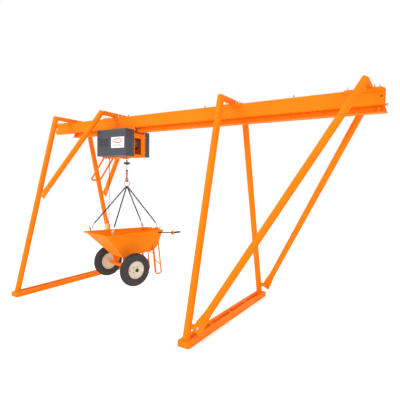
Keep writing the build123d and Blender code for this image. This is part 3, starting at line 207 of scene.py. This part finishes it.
class Paintbox:
    """Makes each material once and hands it out."""

    patch_detail = 5.0
    grain_detail = 2.0
    patch_edges = (0.42, 0.72)
    worn_roughness = 0.16
    coat_roughness = 0.12

    def __init__(self) -> None:
        """Build the shared surface group."""
        self.made: dict[str, bpy.types.Material] = {}
        self.group = self._surface_group()

    @staticmethod
    def _sockets(tree: bpy.types.NodeTree) -> None:
        """Give the surface group its inputs and outputs.

        Args:
            tree: The group's node tree.
        """
        inputs = (
            ("Place", "NodeSocketVector"),
            ("Color", "NodeSocketColor"),
            ("Worn", "NodeSocketColor"),
            ("Patch Scale", "NodeSocketFloat"),
            ("Patch Amount", "NodeSocketFloat"),
            ("Grain Scale", "NodeSocketFloat"),
            ("Roughness", "NodeSocketFloat"),
        )
        outputs = (
            ("Color", "NodeSocketColor"),
            ("Roughness", "NodeSocketFloat"),
            ("Height", "NodeSocketFloat"),
        )
        for label, kind in inputs:
            tree.interface.new_socket(name=label, in_out="INPUT", socket_type=kind)
        for label, kind in outputs:
            tree.interface.new_socket(name=label, in_out="OUTPUT", socket_type=kind)

    def _surface_group(self) -> bpy.types.NodeTree:
        """Shared group: two tones in soft patches, a roughness mask and a fine grain height.

        Returns:
            The node group.
        """
        tree = bpy.data.node_groups.new("worn_surface", "ShaderNodeTree")
        self._sockets(tree)
        nodes, links = tree.nodes, tree.links
        source = nodes.new("NodeGroupInput")
        sink = nodes.new("NodeGroupOutput")
        patches = nodes.new("ShaderNodeTexNoise")
        patches.inputs["Detail"].default_value = self.patch_detail
        grain = nodes.new("ShaderNodeTexNoise")
        grain.inputs["Detail"].default_value = self.grain_detail
        ramp = nodes.new("ShaderNodeMapRange")
        ramp.inputs["From Min"].default_value = self.patch_edges[0]
        ramp.inputs["From Max"].default_value = self.patch_edges[1]
        scaled = nodes.new("ShaderNodeMath")
        scaled.operation = "MULTIPLY"
        mix = nodes.new("ShaderNodeMix")
        mix.data_type = "RGBA"
        rough = nodes.new("ShaderNodeMath")
        rough.operation = "MULTIPLY_ADD"
        rough.inputs[1].default_value = self.worn_roughness
        links.new(source.outputs["Place"], patches.inputs["Vector"])
        links.new(source.outputs["Patch Scale"], patches.inputs["Scale"])
        links.new(source.outputs["Place"], grain.inputs["Vector"])
        links.new(source.outputs["Grain Scale"], grain.inputs["Scale"])
        links.new(patches.outputs["Fac"], ramp.inputs["Value"])
        links.new(ramp.outputs["Result"], scaled.inputs[0])
        links.new(source.outputs["Patch Amount"], scaled.inputs[1])
        links.new(scaled.outputs["Value"], mix.inputs["Factor"])
        links.new(source.outputs["Color"], mix.inputs["A"])
        links.new(source.outputs["Worn"], mix.inputs["B"])
        links.new(ramp.outputs["Result"], rough.inputs[0])
        links.new(source.outputs["Roughness"], rough.inputs[2])
        links.new(mix.outputs["Result"], sink.inputs["Color"])
        links.new(rough.outputs["Value"], sink.inputs["Roughness"])
        links.new(grain.outputs["Fac"], sink.inputs["Height"])
        return tree

    def get(self, finish: Finish) -> bpy.types.Material:
        """Material of a finish, made on first use.

        Args:
            finish: The finish wanted.

        Returns:
            The material.
        """
        if finish.name in self.made:
            return self.made[finish.name]
        material = bpy.data.materials.new(finish.name)
        material.use_nodes = True
        nodes, links = material.node_tree.nodes, material.node_tree.links
        shader = nodes["Principled BSDF"]
        place = nodes.new("ShaderNodeTexCoord")
        group = nodes.new("ShaderNodeGroup")
        group.node_tree = self.group
        group.inputs["Color"].default_value = (*finish.color, 1.0)
        group.inputs["Worn"].default_value = (*finish.worn, 1.0)
        group.inputs["Patch Scale"].default_value = finish.patch_scale
        group.inputs["Patch Amount"].default_value = finish.patch_amount
        group.inputs["Grain Scale"].default_value = finish.grain_scale
        group.inputs["Roughness"].default_value = finish.roughness
        bump = nodes.new("ShaderNodeBump")
        bump.inputs["Strength"].default_value = finish.bump
        bump.inputs["Distance"].default_value = MM
        links.new(place.outputs["Object"], group.inputs["Place"])
        links.new(group.outputs["Color"], shader.inputs["Base Color"])
        links.new(group.outputs["Roughness"], shader.inputs["Roughness"])
        links.new(group.outputs["Height"], bump.inputs["Height"])
        links.new(bump.outputs["Normal"], shader.inputs["Normal"])
        shader.inputs["Metallic"].default_value = finish.metallic
        shader.inputs["Coat Weight"].default_value = finish.coat
        shader.inputs["Specular IOR Level"].default_value = finish.specular
        shader.inputs["Coat Roughness"].default_value = self.coat_roughness
        self.made[finish.name] = material
        return material


Build = Callable[[bmesh.types.BMesh], None]


class Piece:
    """One mesh built in place, in metres, with several finishes if wanted."""

    def __init__(self, name: str, paints: Paintbox, finishes: Sequence[Finish]) -> None:
        """Open an empty mesh.

        Args:
            name: Object name.
            paints: Where materials come from.
            finishes: Finishes in material-slot order.
        """
        self.name = name
        self.paints = paints
        self.finishes = tuple(finishes)
        self.mesh = bmesh.new()

    def add(self, build: Build, slot: int = 0, smooth: bool = True) -> None:
        """Add geometry and give its new faces a slot.

        Args:
            build: Function that adds to the mesh.
            slot: Material slot of the new faces.
            smooth: Whether they are shaded smooth.
        """
        before = set(self.mesh.faces)
        build(self.mesh)
        for face in self.mesh.faces:
            if face not in before:
                face.material_index = slot
                face.smooth = smooth

    def block(self, size: Vector, frame: Matrix, slot: int = 0) -> None:
        """Add a flat-shaded box.

        Args:
            size: Its three sizes.
            frame: Its place and turn.
            slot: Material slot.
        """
        scaled = frame @ Matrix.Diagonal((*size, 1.0))

        def build(mesh: bmesh.types.BMesh) -> None:
            bmesh.ops.create_cube(mesh, size=1.0, matrix=scaled)

        self.add(build, slot, False)

    def turned(self, hub: Vector, profile: Sequence[tuple[float, float]], steps: int, slot: int = 0) -> None:
        """Turn an open profile round the cart's axle line.

        Args:
            hub: Point on the axle line that offsets are counted from.
            profile: Radius and offset across of each point.
            steps: Steps round the circle.
            slot: Material slot.
        """

        def build(mesh: bmesh.types.BMesh) -> None:
            rings = []
            for i in range(steps):
                angle = math.tau * i / steps
                out = ALONG * math.cos(angle) + UP * math.sin(angle)
                places = [hub + out * radius + ACROSS * offset for radius, offset in profile]
                rings.append([mesh.verts.new(place) for place in places])
            for first, second in zip(rings, rings[1:] + rings[:1]):
                for k in range(len(profile) - 1):
                    mesh.faces.new((first[k], first[k + 1], second[k + 1], second[k]))

        self.add(build, slot)

    def ring_tube(
        self, path: Sequence[Vector], radius: float, sides: int, closed: bool = False, slot: int = 0
    ) -> None:
        """Round tube along points, with frames carried along without twist.

        Args:
            path: Centre-line points.
            radius: Tube radius.
            sides: Sides round the tube.
            closed: Whether the tube joins up with itself.
            slot: Material slot.
        """
        before = set(self.mesh.faces)
        rings = self._rings(path, radius, sides, closed)
        pairs = list(zip(rings, rings[1:]))
        if closed:
            pairs.append((rings[-1], rings[0]))
        for first, second in pairs:
            shift = 0
            if closed and second is rings[0]:
                shift = min(range(sides), key=lambda s: (second[s].co - first[0].co).length)
            for k in range(sides):
                a, b = first[k], first[(k + 1) % sides]
                c, d = second[(k + 1 + shift) % sides], second[(k + shift) % sides]
                self.mesh.faces.new((a, b, c, d))
        if not closed:
            self.mesh.faces.new(rings[0][::-1])
            self.mesh.faces.new(rings[-1])
        for face in self.mesh.faces:
            if face not in before:
                face.material_index = slot
                face.smooth = len(face.verts) == 4

    def _rings(
        self, path: Sequence[Vector], radius: float, sides: int, closed: bool
    ) -> list[list[bmesh.types.BMVert]]:
        """Rings of vertices along a path.

        Args:
            path: Centre-line points.
            radius: Ring radius.
            sides: Vertices in a ring.
            closed: Whether the path joins up with itself.

        Returns:
            One ring for each point.
        """
        count = len(path)
        rings = []
        tangent = (path[1] - path[-1 if closed else 0]).normalized()
        side = tangent.orthogonal().normalized()
        for i, point in enumerate(path):
            ahead = path[(i + 1) % count] if closed or i < count - 1 else path[i]
            behind = path[i - 1] if closed or i > 0 else path[i]
            new_tangent = (ahead - behind).normalized()
            side = tangent.rotation_difference(new_tangent) @ side
            side = (side - new_tangent * side.dot(new_tangent)).normalized()
            tangent = new_tangent
            other = tangent.cross(side)
            ring = []
            for k in range(sides):
                angle = math.tau * k / sides
                out = side * math.cos(angle) + other * math.sin(angle)
                ring.append(self.mesh.verts.new(point + out * radius))
            rings.append(ring)
        return rings

    def to_object(self) -> bpy.types.Object:
        """Close the mesh and make its object.

        Returns:
            The object, riding on nothing yet.
        """
        bmesh.ops.recalc_face_normals(self.mesh, faces=self.mesh.faces)
        data = bpy.data.meshes.new(self.name)
        self.mesh.to_mesh(data)
        self.mesh.free()
        for finish in self.finishes:
            data.materials.append(self.paints.get(finish))
        LOG.info("%s: %d faces", self.name, len(data.polygons))
        return place_in_scene(self.name, data)

    def done(
        self, body: str, stands_for: Iterable[str] = ()
    ) -> bpy.types.Object:
        """Close the mesh and hand over the object.

        Args:
            body: Body it moves with.
            stands_for: Frame nodes it replaces.

        Returns:
            The object.
        """
        thing = self.to_object()
        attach(thing, body)
        nodes = tuple(stands_for)
        if nodes:
            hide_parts(*nodes)
        return thing


@dataclass
class Sling:
    """Four link chains from the ring to the tub's eyes."""

    paints: Paintbox
    wire: float = 4.6 * MM
    link_length: float = 46.0 * MM
    link_width: float = 26.0 * MM
    link_points: int = 14
    link_sides: int = 6
    first_turn_deg: int = 45
    rim_front: float = -0.485
    rim_rear: float = 0.485
    front_half: float = 0.326
    rear_half: float = 0.212
    eye_outside: float = 2 * MM
    eyes_along: tuple[float, float] = (-0.398, 0.410)
    crown_z: float = 0.935
    ring_low_z: float = 1.5205
    ring_wrap: float = 10 * MM
    aim_radius: float = 24 * MM
    top_radius: float = 10 * MM
    top_rise: float = 4 * MM
    hook_length: float = 0.100
    under_crown: float = 12.4 * MM

    def lines(self) -> list[tuple[Vector, Vector]]:
        """Start and end of each chain.

        Returns:
            Pairs of points, the lower one first.
        """
        found = []
        for along in self.eyes_along:
            share = (along - self.rim_front) / (self.rim_rear - self.rim_front)
            half = self.front_half + (self.rear_half - self.front_half) * share + self.eye_outside
            for sign in (-1, 1):
                radial = (ALONG * along + ACROSS * sign * half).normalized()
                crown = load_point(along, sign * half, self.crown_z)
                aim = Vector((ROPE_X, 0, self.ring_low_z - self.ring_wrap)) + radial * self.aim_radius
                pull = (aim - crown).normalized()
                start = crown - pull * self.under_crown + pull * self.hook_length
                end = Vector((ROPE_X, 0, self.ring_low_z + self.top_rise)) + radial * self.top_radius
                found.append((start, end))
        return found

    def link_path(self, centre: Vector, direction: Vector, flat: Vector) -> list[Vector]:
        """Centre line of one oval link.

        Args:
            centre: Middle of the link.
            direction: Along the chain.
            flat: Across the link, in its own plane.

        Returns:
            Points round the oval.
        """
        half = self.link_width / 2 - self.wire
        straight = self.link_length / 2 - self.wire - half
        path = []
        for k in range(self.link_points):
            angle = math.tau * (k + 0.5) / self.link_points
            lift = straight if math.sin(angle) > 0 else -straight
            path.append(centre + flat * half * math.cos(angle) + direction * (half * math.sin(angle) + lift))
        return path

    def build(self) -> bpy.types.Object:
        """Make all four chains as one mesh.

        Returns:
            The chains.
        """
        piece = Piece("sling_chain_links", self.paints, (DARK,))
        pitch = self.link_length - 4 * self.wire
        for start, end in self.lines():
            direction = (end - start).normalized()
            span = (end - start).length
            count = max(2, round(span / pitch))
            step = span / count
            side = direction.orthogonal().normalized()
            for i in range(count):
                turn = Quaternion(direction, math.radians(self.first_turn_deg + 90 * (i % 2)))
                centre = start + direction * step * (i + 0.5)
                link = self.link_path(centre, direction, turn @ side)
                piece.ring_tube(link, self.wire, self.link_sides, closed=True)
        return piece.done("load", ("sling_chains",))


class Side(Enum):
    """Side of the tub that a wheel is on; the value is its sign across the tub."""

    LEFT = -1
    RIGHT = 1


@dataclass
class WheelPlace:
    """Where one cart wheel stands."""

    paints: Paintbox
    side: Side
    axle_along: float = -0.090
    track: float = 0.367
    axle_z: float = 0.416

    @property
    def label(self) -> str:
        """Side's name, as the frame writes it."""
        return self.side.name.lower()

    @property
    def hub(self) -> Vector:
        """Middle of the wheel on its axle line."""
        return load_point(self.axle_along, self.side.value * self.track, self.axle_z)


@dataclass
class CartTyre(WheelPlace):
    """Pneumatic tyre with a ribbed tread."""

    outer: float = 0.221
    inner: float = 0.116
    middle: float = 0.166
    half_width: float = 0.048
    crown_gap: float = 3 * MM
    bead_half: float = 0.030
    wall_half: float = 0.038
    wall_rise: float = 0.012
    squareness: float = 0.7
    bulge_points: int = 12
    steps: int = 96
    rib_offsets: tuple[float, ...] = (-0.030, -0.018, -0.006, 0.006, 0.018, 0.030)
    rib_size: tuple[float, float, float] = (0.0185, 0.0085, 0.0036)
    rib_sink: float = 0.5 * MM
    rib_rise: float = 1.2 * MM

    def profile(self) -> list[tuple[float, float]]:
        """Section of the tyre as radius and offset across.

        Returns:
            Points from bead to bead.
        """
        wall = self.inner + self.wall_rise
        points = [(self.inner, -self.bead_half), (wall, -self.wall_half)]
        for k in range(1, self.bulge_points):
            share = k / self.bulge_points
            points.append((self._bulge_radius(share), -self.half_width * math.cos(math.pi * share)))
        return points + [(wall, self.wall_half), (self.inner, self.bead_half)]

    def _bulge_radius(self, share: float) -> float:
        """Radius of a profile point.

        Args:
            share: From 0 at one side to 1 at the other.

        Returns:
            Radius in metres.
        """
        rise = self.outer - self.crown_gap - self.middle
        return self.middle + rise * math.sin(math.pi * share) ** self.squareness

    def _add_ribs(self, piece: Piece, offset: float) -> None:
        """Add one ring of tread blocks.

        Args:
            piece: Mesh to add to.
            offset: Distance across from the tyre's middle.
        """
        share = math.acos(-offset / self.half_width) / math.pi
        radius = self._bulge_radius(share) - self.rib_sink
        count = self.steps // 2
        stagger = 0.5 if offset > 0 else 0.0

        def build(mesh: bmesh.types.BMesh) -> None:
            for i in range(count):
                angle = math.tau * (i + stagger) / count
                out = ALONG * math.cos(angle) + UP * math.sin(angle)
                frame = Matrix((out.cross(ACROSS), ACROSS, out)).transposed().to_4x4()
                frame.translation = self.hub + ACROSS * offset + out * (radius + self.rib_rise)
                bmesh.ops.create_cube(mesh, size=1.0, matrix=frame @ Matrix.Diagonal((*self.rib_size, 1.0)))

        piece.add(build, smooth=False)

    def build(self) -> bpy.types.Object:
        """Turn the tyre and add its tread ribs.

        Returns:
            The tyre.
        """
        piece = Piece(f"tyre_{self.label}_tread", self.paints, (TYRE,))
        profile = self.profile()
        piece.turned(self.hub, profile + profile[:1], self.steps)
        for offset in self.rib_offsets:
            self._add_ribs(piece, offset)
        return piece.done(f"wheel_{self.label}", (f"tyre_{self.label}",))


@dataclass
class WheelRim(WheelPlace):
    """Pressed rim with a dished middle, a hub and a dark cap."""

    face: tuple[tuple[float, float], ...] = (
        (0.1165, 0.0240), (0.1185, 0.0330), (0.1155, 0.0365), (0.1105, 0.0340), (0.1060, 0.0260),
        (0.1000, 0.0190), (0.0930, 0.0165), (0.0780, 0.0150), (0.0660, 0.0110), (0.0520, 0.0105),
        (0.0400, 0.0150), (0.0330, 0.0240), (0.0290, 0.0400), (0.0270, 0.0440), (0.0130, 0.0445),
    )
    steps: int = 64
    cap_end: float = 0.062
    cap_steps: int = 32
    cap: tuple[tuple[float, float], ...] = ((0.001, 0.0), (0.016, 0.0), (0.0235, 0.003), (0.0245, 0.014))
    bolt_count: int = 4
    bolt_circle: float = 0.047
    bolt_offset: float = 0.0125
    bolt_radius: float = 6.5 * MM
    bolt_height: float = 8 * MM
    bolt_sides: int = 6
    valve_at: tuple[float, float] = (0.092, 0.018)
    valve_bends: tuple[tuple[float, float], ...] = ((0.0, 0.0), (0.004, 0.010), (0.012, 0.018))
    valve_radius: float = 4 * MM
    valve_sides: int = 8

    def _add_bolt(self, piece: Piece, angle: float) -> None:
        """Add one wheel bolt.

        Args:
            piece: Mesh to add to.
            angle: Its place round the hub.
        """
        out = ALONG * math.cos(angle) + UP * math.sin(angle)
        place = self.hub + out * self.bolt_circle + ACROSS * self.side.value * self.bolt_offset
        frame = Matrix.Translation(place) @ ACROSS.to_track_quat("Z", "Y").to_matrix().to_4x4()

        def build(mesh: bmesh.types.BMesh) -> None:
            bmesh.ops.create_cone(
                mesh, cap_ends=True, segments=self.bolt_sides, radius1=self.bolt_radius,
                radius2=self.bolt_radius, depth=self.bolt_height, matrix=frame,
            )

        piece.add(build, 1, False)

    def build(self) -> bpy.types.Object:
        """Turn the rim, both faces, and its cap.

        Returns:
            The rim.
        """
        sign = self.side.value
        piece = Piece(f"rim_{self.label}_dish", self.paints, (CREAM, DARK))
        for facing in (-1, 1):
            piece.turned(self.hub, [(radius, facing * offset) for radius, offset in self.face], self.steps)
        edge_radius, edge_offset = self.face[0]
        piece.turned(self.hub, [(edge_radius, -edge_offset), (edge_radius, edge_offset)], self.steps)
        cap = [(radius, sign * (self.cap_end - back)) for radius, back in self.cap]
        piece.turned(self.hub, cap, self.cap_steps, 1)
        for k in range(self.bolt_count):
            self._add_bolt(piece, math.tau * (k + 0.5) / self.bolt_count)
        valve = self.hub - ALONG * self.valve_at[0] + ACROSS * sign * self.valve_at[1]
        bends = [valve + ACROSS * sign * out - ALONG * down for down, out in self.valve_bends]
        piece.ring_tube(bends, self.valve_radius, self.valve_sides, slot=1)
        return piece.done(f"wheel_{self.label}", (f"rim_{self.label}",))


@dataclass
class CartHandles:
    """Two dark rods with orange hand guards."""

    paints: Paintbox
    rod: float = 8.0 * MM
    rod_sides: int = 14
    corners: tuple[tuple[float, float, float], ...] = (
        (0.405, 0.206, 0.858), (0.560, 0.262, 0.852), (0.606, 0.282, 0.848), (0.746, 0.282, 0.848),
    )
    path_steps: int = 40
    guard_at: tuple[float, float, float] = (0.610, 0.282, 0.848)
    guard: float = 32 * MM
    guard_edges: tuple[float, ...] = (-4 * MM, -3 * MM, 3 * MM, 4 * MM)
    guard_sides: int = 28

    def path(self, sign: int) -> list[Vector]:
        """Centre line of one rod, with softened corners.

        Args:
            sign: Side of the tub.

        Returns:
            Points from the tub to the grip's end.
        """
        corners = [load_point(along, sign * across, z) for along, across, z in self.corners]
        points = []
        for i in range(self.path_steps + 1):
            share = i / self.path_steps * (len(corners) - 1)
            k = min(int(share), len(corners) - 2)
            points.append(corners[k].lerp(corners[k + 1], share - k))
        softened = [(a + b * 2 + c) / 4 for a, b, c in zip(points, points[1:], points[2:])]
        return [points[0]] + softened + [points[-1]]

    def build(self) -> bpy.types.Object:
        """Make both rods and guards.

        Returns:
            The handles.
        """
        piece = Piece("cart_handle_rods", self.paints, (DARK, ORANGE))
        along, across, z = self.guard_at
        for sign in (-1, 1):
            piece.ring_tube(self.path(sign), self.rod, self.rod_sides)
            middle = load_point(along, sign * across, z)
            edges = [middle + ALONG * edge for edge in self.guard_edges]
            piece.ring_tube(edges, self.guard, self.guard_sides, slot=1)
        return piece.done("load", ("cart_handles",))


@dataclass
class CoverLabel:
    """Pale label on the winch cover, with a plain ring and two bars."""

    paints: Paintbox
    left: float = -0.905
    right: float = -0.670
    low: float = 2.046
    high: float = 2.190
    film: float = 0.6 * MM
    margin: float = 0.040
    ring_rise: float = 0.022
    ring_height: float = 0.030
    ring_out: float = 0.9 * MM
    ring_depth: float = 0.6 * MM
    ring_steps: int = 40
    ring_gap: float = 0.014
    hole_height: float = 0.017
    hole_out: float = 1.3 * MM
    hole_depth: float = 0.5 * MM
    bar_margin: float = 0.030
    bar_low: float = 0.020
    bar_pitch: float = 0.016
    bar_height: float = 6 * MM
    bar_shorter: float = 0.040
    bar_depth: float = 0.9 * MM

    @property
    def face(self) -> float:
        """Place of the cover's outer face, towards the front."""
        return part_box("front_cover")[0][1]

    def _plate(
        self, piece: Piece, across: tuple[float, float], heights: tuple[float, float], depth: float, slot: int
    ) -> None:
        """Add a thin plate on the cover.

        Args:
            piece: Mesh to add to.
            across: Its left and right edges.
            heights: Its low and high edges.
            depth: How far it stands out.
            slot: Material slot.
        """
        middle = Matrix.Translation((sum(across) / 2, self.face - depth / 2, sum(heights) / 2))
        piece.block(Vector((across[1] - across[0], depth, heights[1] - heights[0])), middle, slot)

    def _oval(
        self, piece: Piece, half: tuple[float, float], out: float, depth: float, slot: int
    ) -> None:
        """Add a thin oval in the middle of the label.

        Args:
            piece: Mesh to add to.
            half: Half its width and half its height.
            out: Distance of its middle from the cover.
            depth: Its thickness.
            slot: Material slot.
        """
        centre = self.left + self.margin + (self.right - self.left - 2 * self.margin) / 2
        height = (self.low + self.high) / 2 + self.ring_rise
        frame = Matrix.Translation((centre, self.face - out, height)) @ Matrix.Rotation(math.pi / 2, 4, "X")
        frame = frame @ Matrix.Diagonal((*half, 1.0, 1.0))

        def build(mesh: bmesh.types.BMesh) -> None:
            bmesh.ops.create_cone(
                mesh, cap_ends=True, segments=self.ring_steps, radius1=1.0, radius2=1.0,
                depth=depth, matrix=frame,
            )

        piece.add(build, slot, False)

    def build(self) -> bpy.types.Object:
        """Make the label and its marks.

        Returns:
            The label.
        """
        piece = Piece("cover_label", self.paints, (LABEL, MARK, KEY_DARK))
        self._plate(piece, (self.left, self.right), (self.low, self.high), self.film, 0)
        half_width = (self.right - self.left - 2 * self.margin) / 2
        self._oval(piece, (half_width, self.ring_height), self.ring_out, self.ring_depth, 1)
        hole = (half_width - self.ring_gap, self.hole_height)
        self._oval(piece, hole, self.hole_out, self.hole_depth, 0)
        for row in range(2):
            z = self.low + self.bar_low + row * self.bar_pitch
            ends = (self.left + self.bar_margin, self.right - self.bar_margin - row * self.bar_shorter)
            self._plate(piece, ends, (z, z + self.bar_height), self.bar_depth, 2)
        return piece.done("trolley")


@dataclass
class VentShade:
    """Dark sheet just inside the cover's vents, painted shade for the shadowed space behind them."""

    paints: Paintbox
    left: float = -1.15
    right: float = -0.94
    low: float = 2.06
    high: float = 2.19
    inside: float = 5 * MM
    thickness: float = 1.0 * MM

    def build(self) -> bpy.types.Object:
        """Make the sheet.

        Returns:
            The sheet.
        """
        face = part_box("front_cover")[0][1] + self.inside
        piece = Piece("vent_shade", self.paints, (SHADE,))
        middle = Matrix.Translation(((self.left + self.right) / 2, face, (self.low + self.high) / 2))
        piece.block(Vector((self.right - self.left, self.thickness, self.high - self.low)), middle)
        return piece.done("trolley")


@dataclass
class ControlCable:
    """Control cable from the gland down to the pendant, with a slow waver."""

    paints: Paintbox
    place_x: float = -1253.0 * MM
    place_y: float = 30.0 * MM
    high: float = 1925.5 * MM
    low: float = 971.6 * MM
    runs: int = 17
    waver: float = 5.0 * MM
    waver_y: float = 0.8
    turn_deg: float = 75
    lag: float = 0.6
    shift: float = 8.0 * MM
    diameter: float = 9.0 * MM
    length: float = 0.956

    def route(self) -> list[Vector]:
        """Points of the cable's route, top first.

        Returns:
            The control points.
        """
        points = []
        for i in range(self.runs + 1):
            share = i / self.runs
            settle = math.sin(math.pi * share)
            turn = math.radians(self.turn_deg * i)
            x = self.place_x + self.waver * settle * math.sin(turn) - self.shift * share
            y = self.place_y + self.waver_y * self.waver * settle * math.cos(turn + self.lag)
            points.append(Vector((x, y, self.high + (self.low - self.high) * share)))
        return points

    def build(self) -> bpy.types.Object:
        """Make the cable as a smooth curve.

        Returns:
            The cable.
        """
        data = bpy.data.curves.new("control_cable", "CURVE")
        data.dimensions = "3D"
        data.bevel_depth = self.diameter / 2
        data.bevel_resolution = 4
        data.resolution_u = 8
        data.use_fill_caps = True
        points = self.route()
        spline = data.splines.new("NURBS")
        spline.points.add(len(points) - 1)
        for knot, point in zip(spline.points, points):
            knot.co = (*point, 1.0)
        spline.order_u = 3
        spline.use_endpoint_u = True
        data.materials.append(self.paints.get(RUBBER))
        cable = place_in_scene("control_cable", data)
        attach(cable, "pendant")
        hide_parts("pendant_cable")
        LOG.info("control_cable: %d points", len(points))
        return cable


@dataclass
class HoistRope:
    """Hoist rope with six strands, from the drum to the ball."""

    paints: Paintbox
    top: float = 2.134
    low: float = 1.757
    still_end: float = 0.01
    strands: int = 6
    strand: float = 1.05 * MM
    strand_circle: float = 1.9 * MM
    strand_sides: int = 5
    steps: int = 90
    lay: float = 26.0 * MM

    def build(self) -> bpy.types.Object:
        """Make the strands.

        Returns:
            The rope.
        """
        piece = Piece("hoist_rope_strands", self.paints, (ROPE_DARK,))
        for strand in range(self.strands):
            path = []
            for i in range(self.steps + 1):
                z = self.top + (self.low - self.top) * i / self.steps
                angle = math.tau * (strand / self.strands + (self.top - z) / self.lay)
                x = ROPE_X + self.strand_circle * math.cos(angle)
                path.append(Vector((x, self.strand_circle * math.sin(angle), z)))
            piece.ring_tube(path, self.strand, self.strand_sides)
        rope = piece.to_object()
        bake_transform(rope)
        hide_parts("hoist_rope")
        return rope


@dataclass(frozen=True)
class Lamp:
    """One square area light."""

    name: str
    place: tuple[float, float, float]
    aim: tuple[float, float, float]
    size: float
    power: float

    def build(self) -> None:
        """Hang the light."""
        data = bpy.data.lights.new(self.name, "AREA")
        data.size = self.size
        data.energy = self.power
        thing = place_in_scene(self.name, data)
        thing.location = self.place
        thing.rotation_mode = "QUATERNION"
        thing.rotation_quaternion = (Vector(self.aim) - Vector(self.place)).to_track_quat("-Z", "Y")


@dataclass
class Studio:
    """Pale floor, soft light and the camera."""

    floor_half: float = 60.0
    floor_tone: float = 0.93
    floor_glow: float = 0.22
    floor_roughness: float = 0.9
    floor_specular: float = 0.1
    lamps: tuple[Lamp, ...] = (
        Lamp("key", (-3.0, -6.5, 6.5), (-0.4, 0.0, 1.4), 4.0, 330.0),
        Lamp("fill", (6.0, -4.0, 3.5), (0.4, 0.0, 1.2), 4.0, 60.0),
    )
    camera_place: tuple[float, float, float] = (2.7016, -3.8193, 1.5899)
    camera_yaw: float = math.radians(31.6537)
    camera_pitch: float = math.radians(2.6964)
    camera_roll: float = math.radians(0.7675)
    sensor_width: float = 36.0
    lens: float = 32.48
    sight: float = 200.0

    def build(self) -> None:
        """Set the stage."""
        self.floor()
        self.surround()
        for lamp in self.lamps:
            lamp.build()
        self.camera()

    def floor(self) -> None:
        """Lay the large pale floor."""
        mesh = bpy.data.meshes.new("floor")
        work = bmesh.new()
        bmesh.ops.create_grid(work, x_segments=1, y_segments=1, size=self.floor_half)
        work.to_mesh(mesh)
        work.free()
        material = bpy.data.materials.new("pale_floor")
        material.use_nodes = True
        shader = material.node_tree.nodes["Principled BSDF"]
        shader.inputs["Base Color"].default_value = (self.floor_tone, self.floor_tone, self.floor_tone, 1.0)
        shader.inputs["Roughness"].default_value = self.floor_roughness
        shader.inputs["Specular IOR Level"].default_value = self.floor_specular
        shader.inputs["Emission Color"].default_value = (1.0, 1.0, 1.0, 1.0)
        shader.inputs["Emission Strength"].default_value = self.floor_glow
        mesh.materials.append(material)
        place_in_scene("floor", mesh)

    def surround(self) -> None:
        """Make the bright surround."""
        world = bpy.data.worlds.new("surround")
        world.use_nodes = True
        back = world.node_tree.nodes["Background"]
        back.inputs["Color"].default_value = (1.0, 1.0, 1.0, 1.0)
        back.inputs["Strength"].default_value = 1.0
        bpy.context.scene.world = world

    def camera(self) -> None:
        """Stand the camera off the front right corner, a little below head height."""
        yaw, pitch, roll = self.camera_yaw, self.camera_pitch, self.camera_roll
        view = Vector((-math.sin(yaw) * math.cos(pitch), math.cos(yaw) * math.cos(pitch), -math.sin(pitch)))
        right = view.cross(UP).normalized()
        up = right.cross(view)
        tilted_right = right * math.cos(roll) + up * math.sin(roll)
        tilted_up = up * math.cos(roll) - right * math.sin(roll)
        pose = Matrix((tilted_right, tilted_up, -view)).transposed().to_4x4()
        pose.translation = Vector(self.camera_place)
        data = bpy.data.cameras.new("camera")
        data.sensor_width = self.sensor_width
        data.lens = self.lens
        data.clip_end = self.sight
        camera = place_in_scene("camera", data)
        camera.matrix_world = pose
        bpy.context.scene.camera = camera
        bpy.context.scene.view_settings.view_transform = "Standard"


def paint_frame(frame: dict, paints: Paintbox) -> None:
    """Give every carried-over node its finish.

    Args:
        paints: Where materials come from.
    """
    slots = {entry["node"]: entry["material_slot"] for entry in frame["record"]["subparts"]}
    for name, thing in frame["nodes"].items():
        finish = NODE_FINISH.get(name, SLOT_FINISH[slots[name]])
        thing.data.materials.clear()
        thing.data.materials.append(paints.get(finish))
    LOG.info("painted %d frame nodes", len(frame["nodes"]))


def main() -> None:
    """Build the whole scene in order."""
    logging.basicConfig(level=logging.INFO, format="[crane] %(message)s")
    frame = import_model()
    paints = Paintbox()
    paint_frame(frame, paints)
    Studio().build()
    Sling(paints).build()
    for side in Side:
        CartTyre(paints, side).build()
        WheelRim(paints, side).build()
    CartHandles(paints).build()
    CoverLabel(paints).build()
    VentShade(paints).build()
    ControlCable(paints).build()
    HoistRope(paints).build()


if __name__ == "__main__":
    main()
